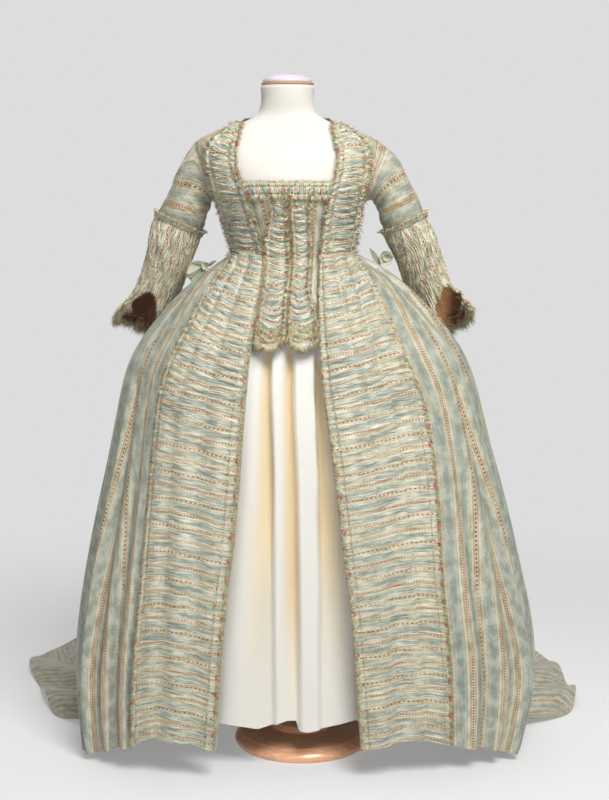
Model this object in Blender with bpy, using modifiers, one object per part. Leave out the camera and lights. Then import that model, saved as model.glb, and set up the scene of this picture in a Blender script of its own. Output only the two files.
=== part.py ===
"""Robe a la francaise, about 1770, worn by a limbless dress form on a turned wooden foot.

Metres, +Z up, -Y is the front. The origin is the middle of the foot's underside, on the floor.
The gown is a set of thin walls: each is a grid of points on the garment's own outer surface,
given a thickness inwards. Heights and widths come from short tables with named columns.
"""

import math

import bmesh
import bpy
import numpy as np
from mathutils import Vector

# ---- driving dimensions ----------------------------------------------------------------------
CLOTH = 0.0015  # wall of the silk
SEAM = 0.0003  # gap between two pieces at a seam
LIFT = 0.0008  # air under a trimming that lies on a panel
TRIM_LIFT = 0.0012  # and under the wide one on the skirt
SACK_STAND = 0.0040  # the sack's outer face above the side-back panels
FLOOR = 0.0006  # the train's underside above the floor

WAIST = 1.098  # height of the waist seam
FORM_INSET = 0.0040  # the form's skin, inside the bodice's outer surface
FORM_DROP = 0.0035  # and this far under it on top of the shoulders
WAIST_INSET = 0.0034  # at the waist the gown and the petticoat rest on the form
SIDE_Y = 0.010  # the side and shoulder seams lie in this plane
BEND_STEPS = 14  # rounds of smoothing where the skirt meets the floor
SWEEP = {"degrees": (108.0, 122.0), "steps": 70}  # and for the left of the train
SKIRT_SIDE = 62.0  # degrees round from the front, where the side panel meets the front panel
HEM_DEGREES = (14.0, 38.0)  # where the trim's two edges reach the hem
WAIST_TURN = 14.0  # at the waist that seam lies this many degrees further round
BACK_EDGE = 125.0  # degrees round from the front, where the sack back starts
FRONT_SQUARENESS = 2.3  # exponent of the skirt's front half in plan, 2 is an ellipse
# How much further out than the tables each arm hangs, half way down the sleeve and at the cuff's end;
# width widens the cuff across. At its notch, a share of a turn round it, it is shorter by the share
# cut, and the higher its narrowness the faster it grows long again to both sides.
ARMS = {
    "right": {"middle": 0.006, "end": 0.012, "width": 1.00, "notch": 0.155, "cut": 0.40, "narrowness": 3.2},
    "left": {"middle": -0.008, "end": -0.030, "width": 1.05, "notch": 0.225, "cut": 0.40, "narrowness": 5.5},
}

ARMHOLE = {"z": 1.279, "half_height": 0.066, "half_depth": 0.052}
HEADING_RISE = (0.0084, (-0.42, -0.1, 0.9))  # how far the frill stands above the cuff, and which way
NECK_TOP = 1.462
NECK_RING = {"radius": 0.0565, "height": 0.0070}
NECK_CAP = {"radius": 0.0535, "top": 1.487}
ROUNDING = 0.002  # rounded edges of the turned parts
POST_RADIUS = 0.016
FORM_BOTTOM = 0.862
FOOT_TOP = 0.038
FOOT = [(0.085, 0.038), (0.112, 0.035), (0.135, 0.029), (0.148, 0.020), (0.153, 0.013), (0.151, 0.004), (0.147, 0.0)]
COLLAR_TOP = 0.062
COLLAR = [(0.030, 0.062), (0.055, 0.059), (0.069, 0.053), (0.075, 0.045), (0.073, FOOT_TOP + SEAM)]

COLOURS = {
    "silk": (0.62, 0.68, 0.62, 1),
    "petticoat": (0.90, 0.87, 0.79, 1),
    "ribbon": (0.66, 0.71, 0.58, 1),
    "form": (0.93, 0.92, 0.90, 1),
    "cap": (0.90, 0.78, 0.82, 1),
    "wood": (0.55, 0.33, 0.22, 1),
}
ROUGHNESS = {"silk": 0.45, "petticoat": 0.7, "ribbon": 0.5, "form": 0.6, "cap": 0.4, "wood": 0.35}


class Table:
    """A short table whose columns have names. It is read smoothly down its first column."""

    def __init__(self, columns, rows):
        self.names = columns.split()
        self.rows = np.array(sorted(rows), float)

    def at(self, where, name):
        """The named column at these values of the first one: a cubic through the rows."""
        x, y = self.rows[:, 0], self.rows[:, self.names.index(name)]
        slope = np.gradient(y, x)
        where = np.clip(np.asarray(where, float), x[0], x[-1])
        i = np.clip(np.searchsorted(x, where) - 1, 0, len(x) - 2)
        h = x[i + 1] - x[i]
        t = (where - x[i]) / h
        start = (1 + 2 * t) * (1 - t) ** 2 * y[i] + t * (1 - t) ** 2 * h * slope[i]
        return start + t**2 * (3 - 2 * t) * y[i + 1] + t**2 * (t - 1) * h * slope[i + 1]


# ---- the tables ------------------------------------------------------------------------------
BODICE = Table(
    "z half_width front back",
    [
        (1.098, 0.134, 0.108, 0.098),
        (1.150, 0.142, 0.114, 0.102),
        (1.213, 0.160, 0.130, 0.110),
        (1.250, 0.180, 0.133, 0.115),
        (1.290, 0.193, 0.122, 0.116),
        (1.330, 0.198, 0.098, 0.110),
        (1.350, 0.188, 0.080, 0.101),
        (1.370, 0.146, 0.064, 0.088),
        (1.388, 0.099, 0.054, 0.073),
        (1.404, 0.071, 0.050, 0.062),
        (1.420, 0.060, 0.051, 0.058),
        (1.462, 0.0575, 0.056, 0.056),
    ],
)
FORM_HIPS = Table(
    "z half_width front back",
    [
        (0.860, 0.150, 0.105, 0.115),
        (0.900, 0.166, 0.118, 0.130),
        (1.000, 0.160, 0.116, 0.122),
        (1.050, 0.143, 0.111, 0.106),
        (1.075, 0.134, 0.107, 0.098),
        (1.098, 0.1316, 0.1056, 0.0956),
        (1.150, 0.1396, 0.1116, 0.0996),
    ],
)
SKIRT = Table(
    "z half_width front back",
    [
        (0.000, 0.496, 0.257, 0.640),
        (0.150, 0.508, 0.250, 0.520),
        (0.330, 0.488, 0.240, 0.430),
        (0.440, 0.468, 0.234, 0.385),
        (0.556, 0.444, 0.227, 0.345),
        (0.670, 0.417, 0.218, 0.310),
        (0.780, 0.392, 0.208, 0.280),
        (0.890, 0.362, 0.193, 0.250),
        (0.950, 0.312, 0.178, 0.228),
        (1.020, 0.250, 0.154, 0.190),
        (1.070, 0.188, 0.128, 0.140),
        (1.098, 0.134, 0.108, 0.098),
    ],
)
SACK = Table(
    "z centre_back",
    [
        (0.890, 0.262),
        (1.000, 0.222),
        (1.098, 0.186),
        (1.200, 0.152),
        (1.290, 0.128),
        (1.350, 0.108),
        (1.388, 0.080),
    ],
)
FRONT_EDGE = Table(
    "z inner outer",
    [
        (0.050, 0.154, 0.345),
        (0.260, 0.139, 0.334),
        (0.400, 0.126, 0.320),
        (0.500, 0.113, 0.312),
        (0.605, 0.102, 0.304),
        (0.716, 0.091, 0.292),
        (0.820, 0.079, 0.272),
        (0.890, 0.073, 0.245),
        (0.960, 0.066, 0.210),
        (1.020, 0.060, 0.180),
        (1.060, 0.057, 0.155),
        (1.098, 0.0565, 0.130),
        (1.156, 0.066, 0.139),
        (1.215, 0.080, 0.152),
        (1.243, 0.089, 0.160),
        (1.282, 0.103, 0.168),
        (1.324, 0.107, 0.170),
        (1.350, 0.103, 0.150),
        (1.383, 0.096, 0.100),
    ],
)
# How far up the hem hangs and how far the cloth runs out over the floor, round from the front.
HEM = Table(
    "degrees height run_right run_left",
    [
        (0.0, 0.066, 0.000, 0.000),
        (14.0, 0.068, 0.000, 0.000),
        (22.0, 0.080, 0.000, 0.000),
        (30.0, 0.082, 0.000, 0.000),
        (38.0, 0.062, 0.000, 0.000),
        (51.0, 0.044, 0.000, 0.000),
        (62.0, 0.024, 0.000, 0.000),
        (78.0, 0.004, 0.000, 0.000),
        (86.0, 0.000, 0.002, 0.002),
        (94.0, 0.000, 0.010, 0.006),
        (97.5, 0.000, 0.075, 0.040),
        (101.0, 0.000, 0.165, 0.112),
        (106.0, 0.000, 0.220, 0.170),
        (113.0, 0.000, 0.265, 0.250),
        (120.0, 0.000, 0.315, 0.375),
        (130.0, 0.000, 0.390, 0.430),
        (150.0, 0.000, 0.430, 0.440),
        (165.0, 0.000, 0.430, 0.425),
        (180.0, 0.000, 0.430, 0.430),
    ],
)
# How far the outer part of the skirt stands to the right of its front opening, on each side.
SWAY = Table(
    "z right left",
    [(0.0, 0.008, 0.045), (0.15, 0.026, 0.044), (0.44, 0.024, 0.038), (0.67, 0.024, 0.032), (0.89, 0.022, 0.024), (1.05, 0.006, 0.006), (1.098, 0.0, 0.0)],
)
# The gown leans: how far left of the stand's post its middle lies.
LEAN = Table(
    "z shift",
    [(0.0, -0.028), (0.6, -0.029), (0.93, -0.033), (1.0, -0.028), (1.098, -0.020), (1.2, -0.026), (1.32, -0.031), (1.5, -0.030)],
)
# Rings of the sleeve for the right arm: centre, slope of the arm below level, half sizes.
SLEEVE = Table(
    "share x y z slope half depth",
    [
        (0.00, 0.181, 0.010, 1.279, 13.6, 0.068, 0.052),
        (0.25, 0.204, 0.018, 1.262, 33.0, 0.054, 0.053),
        (0.50, 0.223, 0.026, 1.226, 52.0, 0.049, 0.053),
        (0.78, 0.238, 0.034, 1.190, 62.0, 0.050, 0.051),
        (1.00, 0.2525, 0.0425, 1.157, 65.0, 0.0488, 0.0496),
    ],
)
CUFF = Table(
    "share x y z slope half depth",
    [
        (0.00, 0.2485, 0.040, 1.167, 65.0, 0.0524, 0.0520),
        (0.22, 0.2730, 0.053, 1.111, 67.0, 0.0490, 0.0500),
        (0.45, 0.2930, 0.076, 1.056, 68.0, 0.0460, 0.0480),
        (0.67, 0.3190, 0.104, 1.002, 66.0, 0.0470, 0.0480),
        (0.86, 0.3480, 0.132, 0.955, 62.0, 0.0520, 0.0500),
        (1.00, 0.3690, 0.152, 0.916, 58.0, 0.0550, 0.0540),
    ],
)
STOMACHER_HEM = Table(
    "share z", [(0.0, 0.938), (0.25, 0.920), (0.55, 0.914), (0.8, 0.922), (1.0, 0.934)]
)
PETTICOAT = Table(
    "z half_width front back",
    [
        (0.088, 0.410, 0.178, 0.320),
        (0.300, 0.395, 0.180, 0.300),
        (0.560, 0.355, 0.180, 0.265),
        (0.780, 0.310, 0.172, 0.220),
        (0.890, 0.280, 0.160, 0.190),
        (0.960, 0.232, 0.146, 0.165),
        (1.020, 0.185, 0.128, 0.138),
        (1.060, 0.150, 0.114, 0.114),
        (1.082, 0.1365, 0.1086, 0.0990),
    ],
)

# Waves: how many, how deep, and where. A gather is a small wave across a strip.
FRONT_FOLDS = 2
FRONT_FOLD_DEPTH = 0.022
SIDE_FOLDS = 5
SIDE_FOLD_DEPTH = 0.034
PLEAT_TOP_DEPTH = 0.010
PLEAT_HEM_DEPTH = 0.070
TRAIN_FOLD_DEPTH = 0.024
ROBING_GATHERS = 9
ROBING_GATHER_DEPTH = 0.0022
TRIM_GATHERS = 14
TRIM_GATHER_DEPTH = 0.0030
CUFF_GATHERS = 12
CUFF_GATHER_DEPTH = 0.0028
HEADING_WAVES = 10
HEADING_DEPTH = 0.005
HEADING_STAND = 0.0036
PETTICOAT_PLEATS = 14
PETTICOAT_FRONT = 2.4  # pleats are this much closer in front than behind
PETTICOAT_PLEAT_DEPTH = 0.026
STOMACHER_TOP = 1.247
STOMACHER_GAP = 0.0012  # from the middle line to either half
STOMACHER_GATHERS = 6
STOMACHER_PUFF = 0.0016
BAND_HEIGHTS = (1.2535, 1.240, 1.228)
BAND_WAVES = 6
BAND_STAND = 0.0049
BAND_WAVE = 0.0012
NECK_STRIP = {"foot": 1.3814, "rise": 0.0054, "height": 0.011, "degrees": (106, 254), "waves": 8}
NECK_STRIP_STAND = 0.0030
NECK_STRIP_WAVE = 0.0012
# Where on the side panel each bow sits, in rows and columns of it, its size, and its turn to the front.
BOWS = {"right": (1.6, 6.0, 0.95, 0.5), "left": (2.1, 14.5, 1.05, 0.3)}
FRINGE_LENGTH = 0.016
KNOT_RADIUS = 0.008
BOW_STAND = 0.0003  # air under the knot
BACKING = 0.003  # width of the strip that holds the fringe
STOMACHER_STRANDS = 14


# ---- points, grids and walls -----------------------------------------------------------------
def smoothstep(low, high, x):
    t = np.clip((np.asarray(x, float) - low) / (high - low), 0, 1)
    return t * t * (3 - 2 * t)


def unit(vectors):
    return vectors / np.maximum(np.linalg.norm(vectors, axis=-1, keepdims=True), 1e-9)


def stack(x, y, z):
    return np.stack(np.broadcast_arrays(x, y, z), axis=-1)


def ring(degrees, half_width, front, back, squareness=2.0):
    """x and y of a plan section: a superellipse in front of the side line, an ellipse behind."""
    angle = np.radians(degrees)
    s, c = np.sin(angle), np.cos(angle)
    power = np.where(c > 0, 2.0 / squareness, 1.0)
    x = half_width * np.sign(s) * np.abs(s) ** power
    y = -np.where(c > 0, front, back) * np.sign(c) * np.abs(c) ** power
    return x, y


def angle_of(x, half_width, squareness=2.0):
    """Degrees round from the front where the front half of a section has this x."""
    share = np.clip(np.asarray(x) / half_width, 0, 1)
    return np.degrees(np.arcsin(share ** (squareness / 2.0)))


def normals(grid):
    """Unit normals of a grid whose rows go down and whose columns go round: they point outwards."""
    down = np.gradient(grid, axis=0)
    across = np.gradient(grid, axis=1)
    return unit(np.cross(down, across))


def moved_out(grid, distance):
    return grid + normals(grid) * np.asarray(distance)[..., None]


def mirrored(grid):
    """The other side's grid, with its columns turned round so that it still faces outwards."""
    return (grid * (-1, 1, 1))[:, ::-1]


def denser(grid, times):
    """The same rows with more between them, each on the straight line between two rows."""
    rows = np.arange((len(grid) - 1) * times + 1) / times
    low = np.minimum(rows.astype(int), len(grid) - 2)
    part = (rows - low)[:, None, None]
    return grid[low] * (1 - part) + grid[low + 1] * part


def bodice_point(degrees, z):
    x, y = ring(degrees, *(BODICE.at(z, n) for n in ("half_width", "front", "back")))
    return stack(x, y, z)


def skirt_point(degrees, z):
    x, y = ring(degrees, *(SKIRT.at(z, n) for n in ("half_width", "front", "back")), FRONT_SQUARENESS)
    return stack(x, y, z)


def turned_seam(degrees, z):
    """Ribs of the skirt bend round towards the side as they near the waist."""
    degrees = np.asarray(degrees, float)
    share = np.where(degrees < SKIRT_SIDE, degrees / SKIRT_SIDE, (180 - degrees) / (180 - SKIRT_SIDE))
    return degrees + WAIST_TURN * share * smoothstep(0.98, WAIST, z)


def rib_point(degrees, z):
    return skirt_point(turned_seam(degrees, z), z)


def swayed(grid):
    """The skirt stands a little to the right of the waist, but its front opening doesn't."""
    out = grid.copy()
    away = smoothstep(0.55, 0.92, np.abs(grid[..., 0]) / SKIRT.at(grid[..., 2], "half_width"))
    away = np.maximum(away, smoothstep(0.0, 0.25, grid[..., 1]))
    shift = np.where(grid[..., 0] > 0, SWAY.at(grid[..., 2], "right"), SWAY.at(grid[..., 2], "left"))
    middle = smoothstep(0.25, 0.0, np.abs(grid[..., 0]))
    shift += (SWAY.at(grid[..., 2], "right") + SWAY.at(grid[..., 2], "left") - 2 * shift) / 2 * middle
    out[..., 0] += shift * away
    return out


def resampled(ribs, shares):
    """Each column of ribs again, at these shares of its own length."""
    step = np.linalg.norm(np.diff(ribs, axis=0), axis=2)
    along = np.concatenate([np.zeros((1, ribs.shape[1])), np.cumsum(step, axis=0)])
    wanted = np.asarray(shares)[:, None] * along[-1]
    low = (along[None, :, :] <= wanted[:, None, :]).sum(axis=1) - 1
    low = np.clip(low, 0, len(ribs) - 2)
    here = np.take_along_axis(along, low, 0)
    there = np.take_along_axis(along, low + 1, 0)
    part = ((wanted - here) / np.maximum(there - here, 1e-9))[..., None]
    index = low[..., None]
    return np.take_along_axis(ribs, index, 0) * (1 - part) + np.take_along_axis(ribs, index + 1, 0) * part


def skirt_ribs(degrees, side, top, section):
    """Fine ribs of the skirt: down from a height to the hem or the floor, then out along it."""
    degrees = np.asarray(degrees, float)
    fall, floor_steps = 60, 16
    height = np.maximum(HEM.at(degrees, "height"), CLOTH + FLOOR)
    run = np.maximum(HEM.at(degrees, "run_right" if side > 0 else "run_left"), 0.0005)
    down = np.linspace(0, 1, fall)[:, None]
    drop = section(degrees[None, :], top + (height - top)[None, :] * down)
    out = unit(drop[-1] * (1, 1, 0))
    flat = np.linspace(0, 1, floor_steps + 1)[1:, None, None] * run[None, :, None] * out[None]
    ribs = np.concatenate([drop, drop[-1][None] + flat])
    # Rounding the bend where the cloth meets the floor; the train sweeps out more softly on the left.
    swept = smoothstep(*SWEEP["degrees"], degrees) * (side < 0)
    for k in range(SWEEP["steps"]):
        softer = ribs[:-2] * 0.25 + ribs[1:-1] * 0.5 + ribs[2:] * 0.25
        share = 1.0 if k < BEND_STEPS else swept[None, :, None]
        ribs[1:-1] += (softer - ribs[1:-1]) * share
    return ribs


def new_object(name, vertices, faces, finish):
    mesh = bpy.data.meshes.new(name)
    mesh.from_pydata([tuple(v) for v in vertices], [], faces)
    mesh.update()
    mesh.materials.append(MATERIALS[finish])
    obj = bpy.data.objects.new(name, mesh)
    COLLECTION.objects.link(obj)
    return obj


def placed(points):
    """Garment points in the part's frame, leaning as the stand does."""
    out = np.array(points, float)
    out[..., 0] += LEAN.at(out[..., 2], "shift")
    return out


def cloth(name, grid, finish="silk", closed=False, thickness=CLOTH):
    """A wall of cloth: the grid is its outer face, and the thickness goes inwards."""
    rows, columns = grid.shape[:2]
    last = columns if closed else columns - 1
    faces = []
    for i in range(rows - 1):
        for j in range(last):
            k = (j + 1) % columns
            faces.append((i * columns + j, (i + 1) * columns + j, (i + 1) * columns + k, i * columns + k))
    obj = new_object(name, placed(grid.reshape(-1, 3)), faces, finish)
    solidify = obj.modifiers.new("wall", "SOLIDIFY")
    solidify.thickness = thickness
    solidify.offset = -1.0
    obj.data.shade_smooth()
    return obj


def comb(name, grid, lengths, finish="silk", closed=False):
    """Fringe: a narrow strip, two rows of the grid, whose lower edge ends in a pointed strand a cell."""
    columns = grid.shape[1]
    inner = grid - normals(np.concatenate([grid[:1], grid, grid[-1:]]))[1:-1] * CLOTH
    corners = np.stack([grid[0], grid[1], inner[1], inner[0]], axis=1)  # outer top, outer foot, inner foot, inner top
    cells = columns if closed else columns - 1
    nxt = (np.arange(cells) + 1) % columns
    foot = (grid[1][:cells] + grid[1][nxt] + inner[1][:cells] + inner[1][nxt]) / 4
    hang = grid[1] - grid[0]
    hang = unit(hang[:cells] + hang[nxt])
    tips = foot + hang * lengths[:, None]
    faces = []
    for j in range(cells):
        a, b, tip = 4 * j, 4 * int(nxt[j]), 4 * columns + j
        faces += [(a, a + 1, b + 1, b), (a + 3, b + 3, b + 2, a + 2), (a, b, b + 3, a + 3)]
        faces += [(a + 1, tip, b + 1), (b + 1, tip, b + 2), (b + 2, tip, a + 2), (a + 2, tip, a + 1)]
    if not closed:
        end = 4 * (columns - 1)
        faces += [(0, 3, 2, 1), (end, end + 1, end + 2, end + 3)]
    return new_object(name, placed(np.concatenate([corners.reshape(-1, 3), tips])), faces, finish)


def turned(name, profile, finish, x=0.0, steps=40):
    """A turned solid: the profile runs down its outer side, from the axis to the axis."""
    points = [(r, 0.0, z) for r, z in profile]
    edges = [(k, k + 1) for k in range(len(points) - 1)]
    mesh = bpy.data.meshes.new(name)
    mesh.from_pydata(points, edges, [])
    mesh.materials.append(MATERIALS[finish])
    obj = bpy.data.objects.new(name, mesh)
    obj.location.x = x
    COLLECTION.objects.link(obj)
    screw = obj.modifiers.new("turn", "SCREW")
    screw.steps = screw.render_steps = steps
    screw.use_merge_vertices = True
    screw.merge_threshold = 0.00005
    return obj


# ---- the gown's bodice -----------------------------------------------------------------------
def armhole_y(z, side_of_seam):
    """Where the armhole's edge lies at a height: in front (-1) or behind (+1) the side seam."""
    share = np.clip((np.asarray(z, float) - ARMHOLE["z"]) / ARMHOLE["half_height"], -1, 1)
    return SIDE_Y + side_of_seam * ARMHOLE["half_depth"] * np.sqrt(1 - share**2)


def angle_at_y(y, z):
    """Degrees round the bodice at a depth y."""
    depth = np.where(y < 0, BODICE.at(z, "front"), BODICE.at(z, "back"))
    return np.degrees(np.arccos(np.clip(-y / depth, -1, 1)))


def front_angles(z):
    """Degrees of the front edge, the robing's outer edge, and the armhole or side seam."""
    width = BODICE.at(z, "half_width")
    inner = angle_of(FRONT_EDGE.at(z, "inner"), width)
    side = angle_at_y(armhole_y(z, -1), z) - 0.15
    outer = np.minimum(angle_of(FRONT_EDGE.at(z, "outer"), width), inner + 0.93 * (side - inner))
    return inner, outer, side


BODICE_ROWS = np.array([1.0985, 1.122, 1.155, 1.188, 1.214, 1.238, 1.262, 1.285, 1.308, 1.328, 1.344, 1.358, 1.370, 1.381])


def bodice_front():
    z = BODICE_ROWS[::-1][:, None]
    inner, outer, side = front_angles(z)
    under_robing = inner + (outer - inner) * np.linspace(0, 1, 4)
    beyond = outer + (side - outer) * np.linspace(0, 1, 5)[1:]
    return bodice_point(np.concatenate([under_robing, beyond], axis=1), z)


def gathers(rows, columns, waves, depth):
    """Small ridges across a strip: they rise from nothing at its edges and shift from row to row."""
    along = np.linspace(0, waves, rows)[:, None]
    across = np.linspace(0, 1, columns)[None, :]
    return depth * (0.5 + 0.5 * np.cos(2 * math.pi * (along + 0.25 * np.sin(5 * across + along))))


def robing(panel):
    """The strip on the front panel's first columns, gathered across."""
    strip = moved_out(denser(panel, 2), LIFT + CLOTH)[:, :4]
    strip = moved_out(strip, gathers(len(strip), 4, ROBING_GATHERS, ROBING_GATHER_DEPTH))
    return strip


def bodice_back():
    """The fitted side-back panel, from the side seam and armhole to where the sack back starts."""
    z = BODICE_ROWS[::-1][:, None]
    start = angle_at_y(armhole_y(z, 1), z) + 0.15
    return bodice_point(start + (BACK_EDGE + 4 - start) * np.linspace(0, 1, 5), z)


def build_bodice():
    panel = bodice_front()
    strip = robing(panel)
    back = bodice_back()
    for name, grid in (("bodice_front", panel), ("robing", strip), ("bodice_side_back", back)):
        cloth(f"{name}_right", grid)
        cloth(f"{name}_left", mirrored(grid))


# ---- the stomacher, in two halves that meet in front -----------------------------------------
def stomacher_point(x, z):
    """On the bodice's front above the waist, and on the skirt's below it."""
    up = bodice_point(angle_of(x, BODICE.at(z, "half_width")), z)
    low = skirt_point(angle_of(x, SKIRT.at(z, "half_width"), FRONT_SQUARENESS), z)
    return np.where((np.asarray(z) >= WAIST)[..., None], up, low)


def stomacher_grid(rows=13, columns=6):
    across = np.linspace(0, 1, columns)[None, :]
    down = np.linspace(0, 1, rows)[:, None]
    z = STOMACHER_TOP + (STOMACHER_HEM.at(across, "z") - STOMACHER_TOP) * down
    half = FRONT_EDGE.at(z, "inner") - 2.5 * SEAM
    grid = stomacher_point(STOMACHER_GAP + (half - STOMACHER_GAP) * across, z)
    puffs = STOMACHER_PUFF * np.sin(math.pi * across * 2) ** 2
    return moved_out(grid, puffs * (0.6 + 0.4 * np.cos(2 * math.pi * STOMACHER_GATHERS * down)))


def build_stomacher():
    half = stomacher_grid()
    cloth("stomacher_right", half)
    cloth("stomacher_left", mirrored(half))
    # The gathered band along the neckline stands over both halves.
    z = np.array(BAND_HEIGHTS)[:, None]
    across = np.linspace(-1, 1, 4 * BAND_WAVES + 1)[None, :]
    x = across * (FRONT_EDGE.at(z, "inner") - 5 * SEAM)
    band = stomacher_point(np.abs(x), z)
    band[..., 0] *= np.sign(across)
    wave = BAND_STAND + BAND_WAVE * np.cos(2 * math.pi * BAND_WAVES * 0.5 * across)
    cloth("stomacher_neck_band", moved_out(band, wave + 0 * z))
    # The fringe below each half, on a strip just under its hem.
    share = np.linspace(0.04, 0.97, STOMACHER_STRANDS + 1)[None, :]
    for side, word in ((1, "right"), (-1, "left")):
        foot = STOMACHER_HEM.at(share, "z") - 3 * SEAM
        z = foot - np.array([0.0, BACKING])[:, None]
        strip = stomacher_point(STOMACHER_GAP + (FRONT_EDGE.at(z, "inner") - 2 * STOMACHER_GAP) * share, z)
        lengths = FRINGE_LENGTH * (0.8 + 0.3 * np.sin(7.0 * np.arange(STOMACHER_STRANDS)))
        comb(f"stomacher_fringe_{word}", strip if side > 0 else mirrored(strip), lengths)


# ---- sleeves and cuffs -----------------------------------------------------------------------
def around_arm(columns):
    """Shares of a turn round the arm: 1 at its outer side, a quarter in front, half at the body."""
    return np.linspace(1, 0, columns + 1)[:-1][None, :]


def arm_rings(table, shares, around, arm):
    """Rings round the arm, at these shares of its length."""
    s = np.asarray(shares, float)
    turn = 2 * math.pi * np.asarray(around, float)
    get = lambda name: table.at(s, name)
    slope = np.radians(get("slope"))
    bulge = np.sin(math.pi * np.clip((1.33 - get("z")) / 0.18, 0, 1))
    below = np.clip((1.19 - get("z")) / 0.27, 0, 1.2)
    spread = arm["middle"] * bulge + arm["end"] * below**2
    out = get("half") * np.cos(turn) * (1 + (arm["width"] - 1) * np.minimum(1, 2 * below))
    x = get("x") + spread + out * np.sin(slope)
    z = get("z") + out * np.cos(slope)
    y = get("y") - get("depth") * np.sin(turn)
    return stack(x, y, z)


def sleeve_grid(arm):
    around = around_arm(16)
    shares = np.array([0.0, 0.18, 0.36, 0.58, 0.80, 1.0])[:, None]
    grid = arm_rings(SLEEVE, shares, around, arm)
    # The head lies on the bodice's surface, along the armhole.
    head = grid[0].copy()
    turn = 2 * math.pi * around[0]
    head[:, 2] = ARMHOLE["z"] + ARMHOLE["half_height"] * np.cos(turn)
    head[:, 1] = SIDE_Y - (ARMHOLE["half_depth"]) * np.sin(turn)
    angle = angle_at_y(head[:, 1], head[:, 2])
    head[:, 0] = BODICE.at(head[:, 2], "half_width") * np.sin(np.radians(angle)) + CLOTH + SEAM
    grid[0] = head
    return grid


def cuff_end(around, arm):
    """Share of the cuff's length at each place round it: short in front of the arm, long behind."""
    near = 0.5 + 0.5 * np.cos(2 * math.pi * (around - arm["notch"]))
    return 1.0 - arm["cut"] * near ** arm["narrowness"]


def cuff_grid(arm, columns, rows, depth=CUFF_GATHER_DEPTH):
    around = around_arm(columns)
    down = np.linspace(0, 1, rows)[:, None]
    grid = arm_rings(CUFF, down * cuff_end(around, arm), around, arm)
    loop = np.concatenate([grid[:, -1:], grid, grid[:, :1]], axis=1)
    wave = depth * (0.5 - 0.5 * np.cos(2 * math.pi * CUFF_GATHERS * around)) * (0.5 + 0.5 * down)
    return grid + normals(loop)[:, 1:-1] * wave[..., None]


def halves(tube):
    """A closed tube's back and front halves, parted by seams along the arm's outer and inner sides."""
    loop = np.concatenate([tube, tube[:, :1]], axis=1)
    middle = tube.shape[1] // 2
    parts = [loop[:, : middle + 1].copy(), loop[:, middle:].copy()]
    for part in parts:
        for end, beside in ((0, 1), (-1, -2)):
            part[:, end] += unit(part[:, beside] - part[:, end]) * SEAM / 2
    return parts


def build_sleeves():
    for side, word in ((1, "right"), (-1, "left")):
        arm = ARMS[word]
        put = (lambda grid: grid) if side > 0 else mirrored
        cloth(f"sleeve_{word}", put(sleeve_grid(arm)), closed=True)
        cuff = cuff_grid(arm, 3 * CUFF_GATHERS, 4)
        for place, half in zip(("back", "front"), halves(cuff)):
            cloth(f"cuff_{place}_{word}", put(half))
        # The frilled heading stands up over the cuff's top edge.
        around = around_arm(2 * HEADING_WAVES)
        shares = np.array([-0.035, 0.0, 0.035])[:, None]
        rings = arm_rings(CUFF, np.maximum(shares, 0), around, arm)
        rise, way = HEADING_RISE
        rings += np.where(shares < 0, rise, 0.0)[..., None] * way
        loop = np.concatenate([rings[:, -1:], rings, rings[:, :1]], axis=1)
        frill = HEADING_DEPTH * (0.5 + 0.5 * np.cos(2 * math.pi * HEADING_WAVES * around)) * np.array([1, 0.4, 0.6])[:, None]
        rings = rings + normals(loop)[:, 1:-1] * (frill + HEADING_STAND)[..., None]
        cloth(f"cuff_heading_{word}", put(rings), closed=True)
        # Fringe round the cuff's end, one strand for each column of the cuff.
        edge = cuff[-1:]
        hang = edge - cuff[-2:-1]
        along = unit(np.roll(edge, -1, axis=1) - np.roll(edge, 1, axis=1))
        hang = unit(hang - along * (hang * along).sum(axis=2, keepdims=True))
        strip = np.concatenate([edge + hang * 3 * SEAM, edge + hang * (3 * SEAM + BACKING)])
        lengths = FRINGE_LENGTH * (0.9 + 0.35 * np.sin(9.0 * np.arange(cuff.shape[1])))
        comb(f"cuff_fringe_{word}", put(strip), lengths, closed=True)


# ---- bows ------------------------------------------------------------------------------------
def ribbon(path, across, width):
    """A grid for a ribbon: the path's points, each carried to both sides along one direction."""
    path, across = np.asarray(path, float), np.asarray(across, float)
    return np.stack([path - across * width / 2, path + across * width / 2], axis=1)


def bow_pieces(centre, out, along, size):
    """Ribbon grids of a bow: two loops that stand up and two tails, all starting inside its knot."""
    up = np.cross(out, along)
    pieces = []
    for way, side, rise, loop in ((1, 0.5, 0.75, 0.036), (-1, 0.8, 0.45, 0.034)):
        lean = unit(along * way * side + up * 0.35 + out * rise)
        t = np.linspace(0.0, 1.0, 7)[:, None]
        bend = unit(np.cross(lean, up)) * (0.003 * (1 - 2 * t) + 0.010 * np.sin(2 * math.pi * t))
        path = centre + lean * (size * loop * np.sin(math.pi * t) ** 0.8 + 0.002) + bend
        pieces.append(ribbon(path, up, 0.022 * size))
        tail = unit(along * way * 0.75 - up * 0.65 + out * 0.12)
        reach = np.linspace(0.001, 0.034 * size, 3)[:, None]
        path = centre + tail * reach + out * (0.001 + 0.003 * np.sin(90 * reach))
        pieces.append(ribbon(path, np.cross(tail, out), 0.015))
    return pieces


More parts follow.
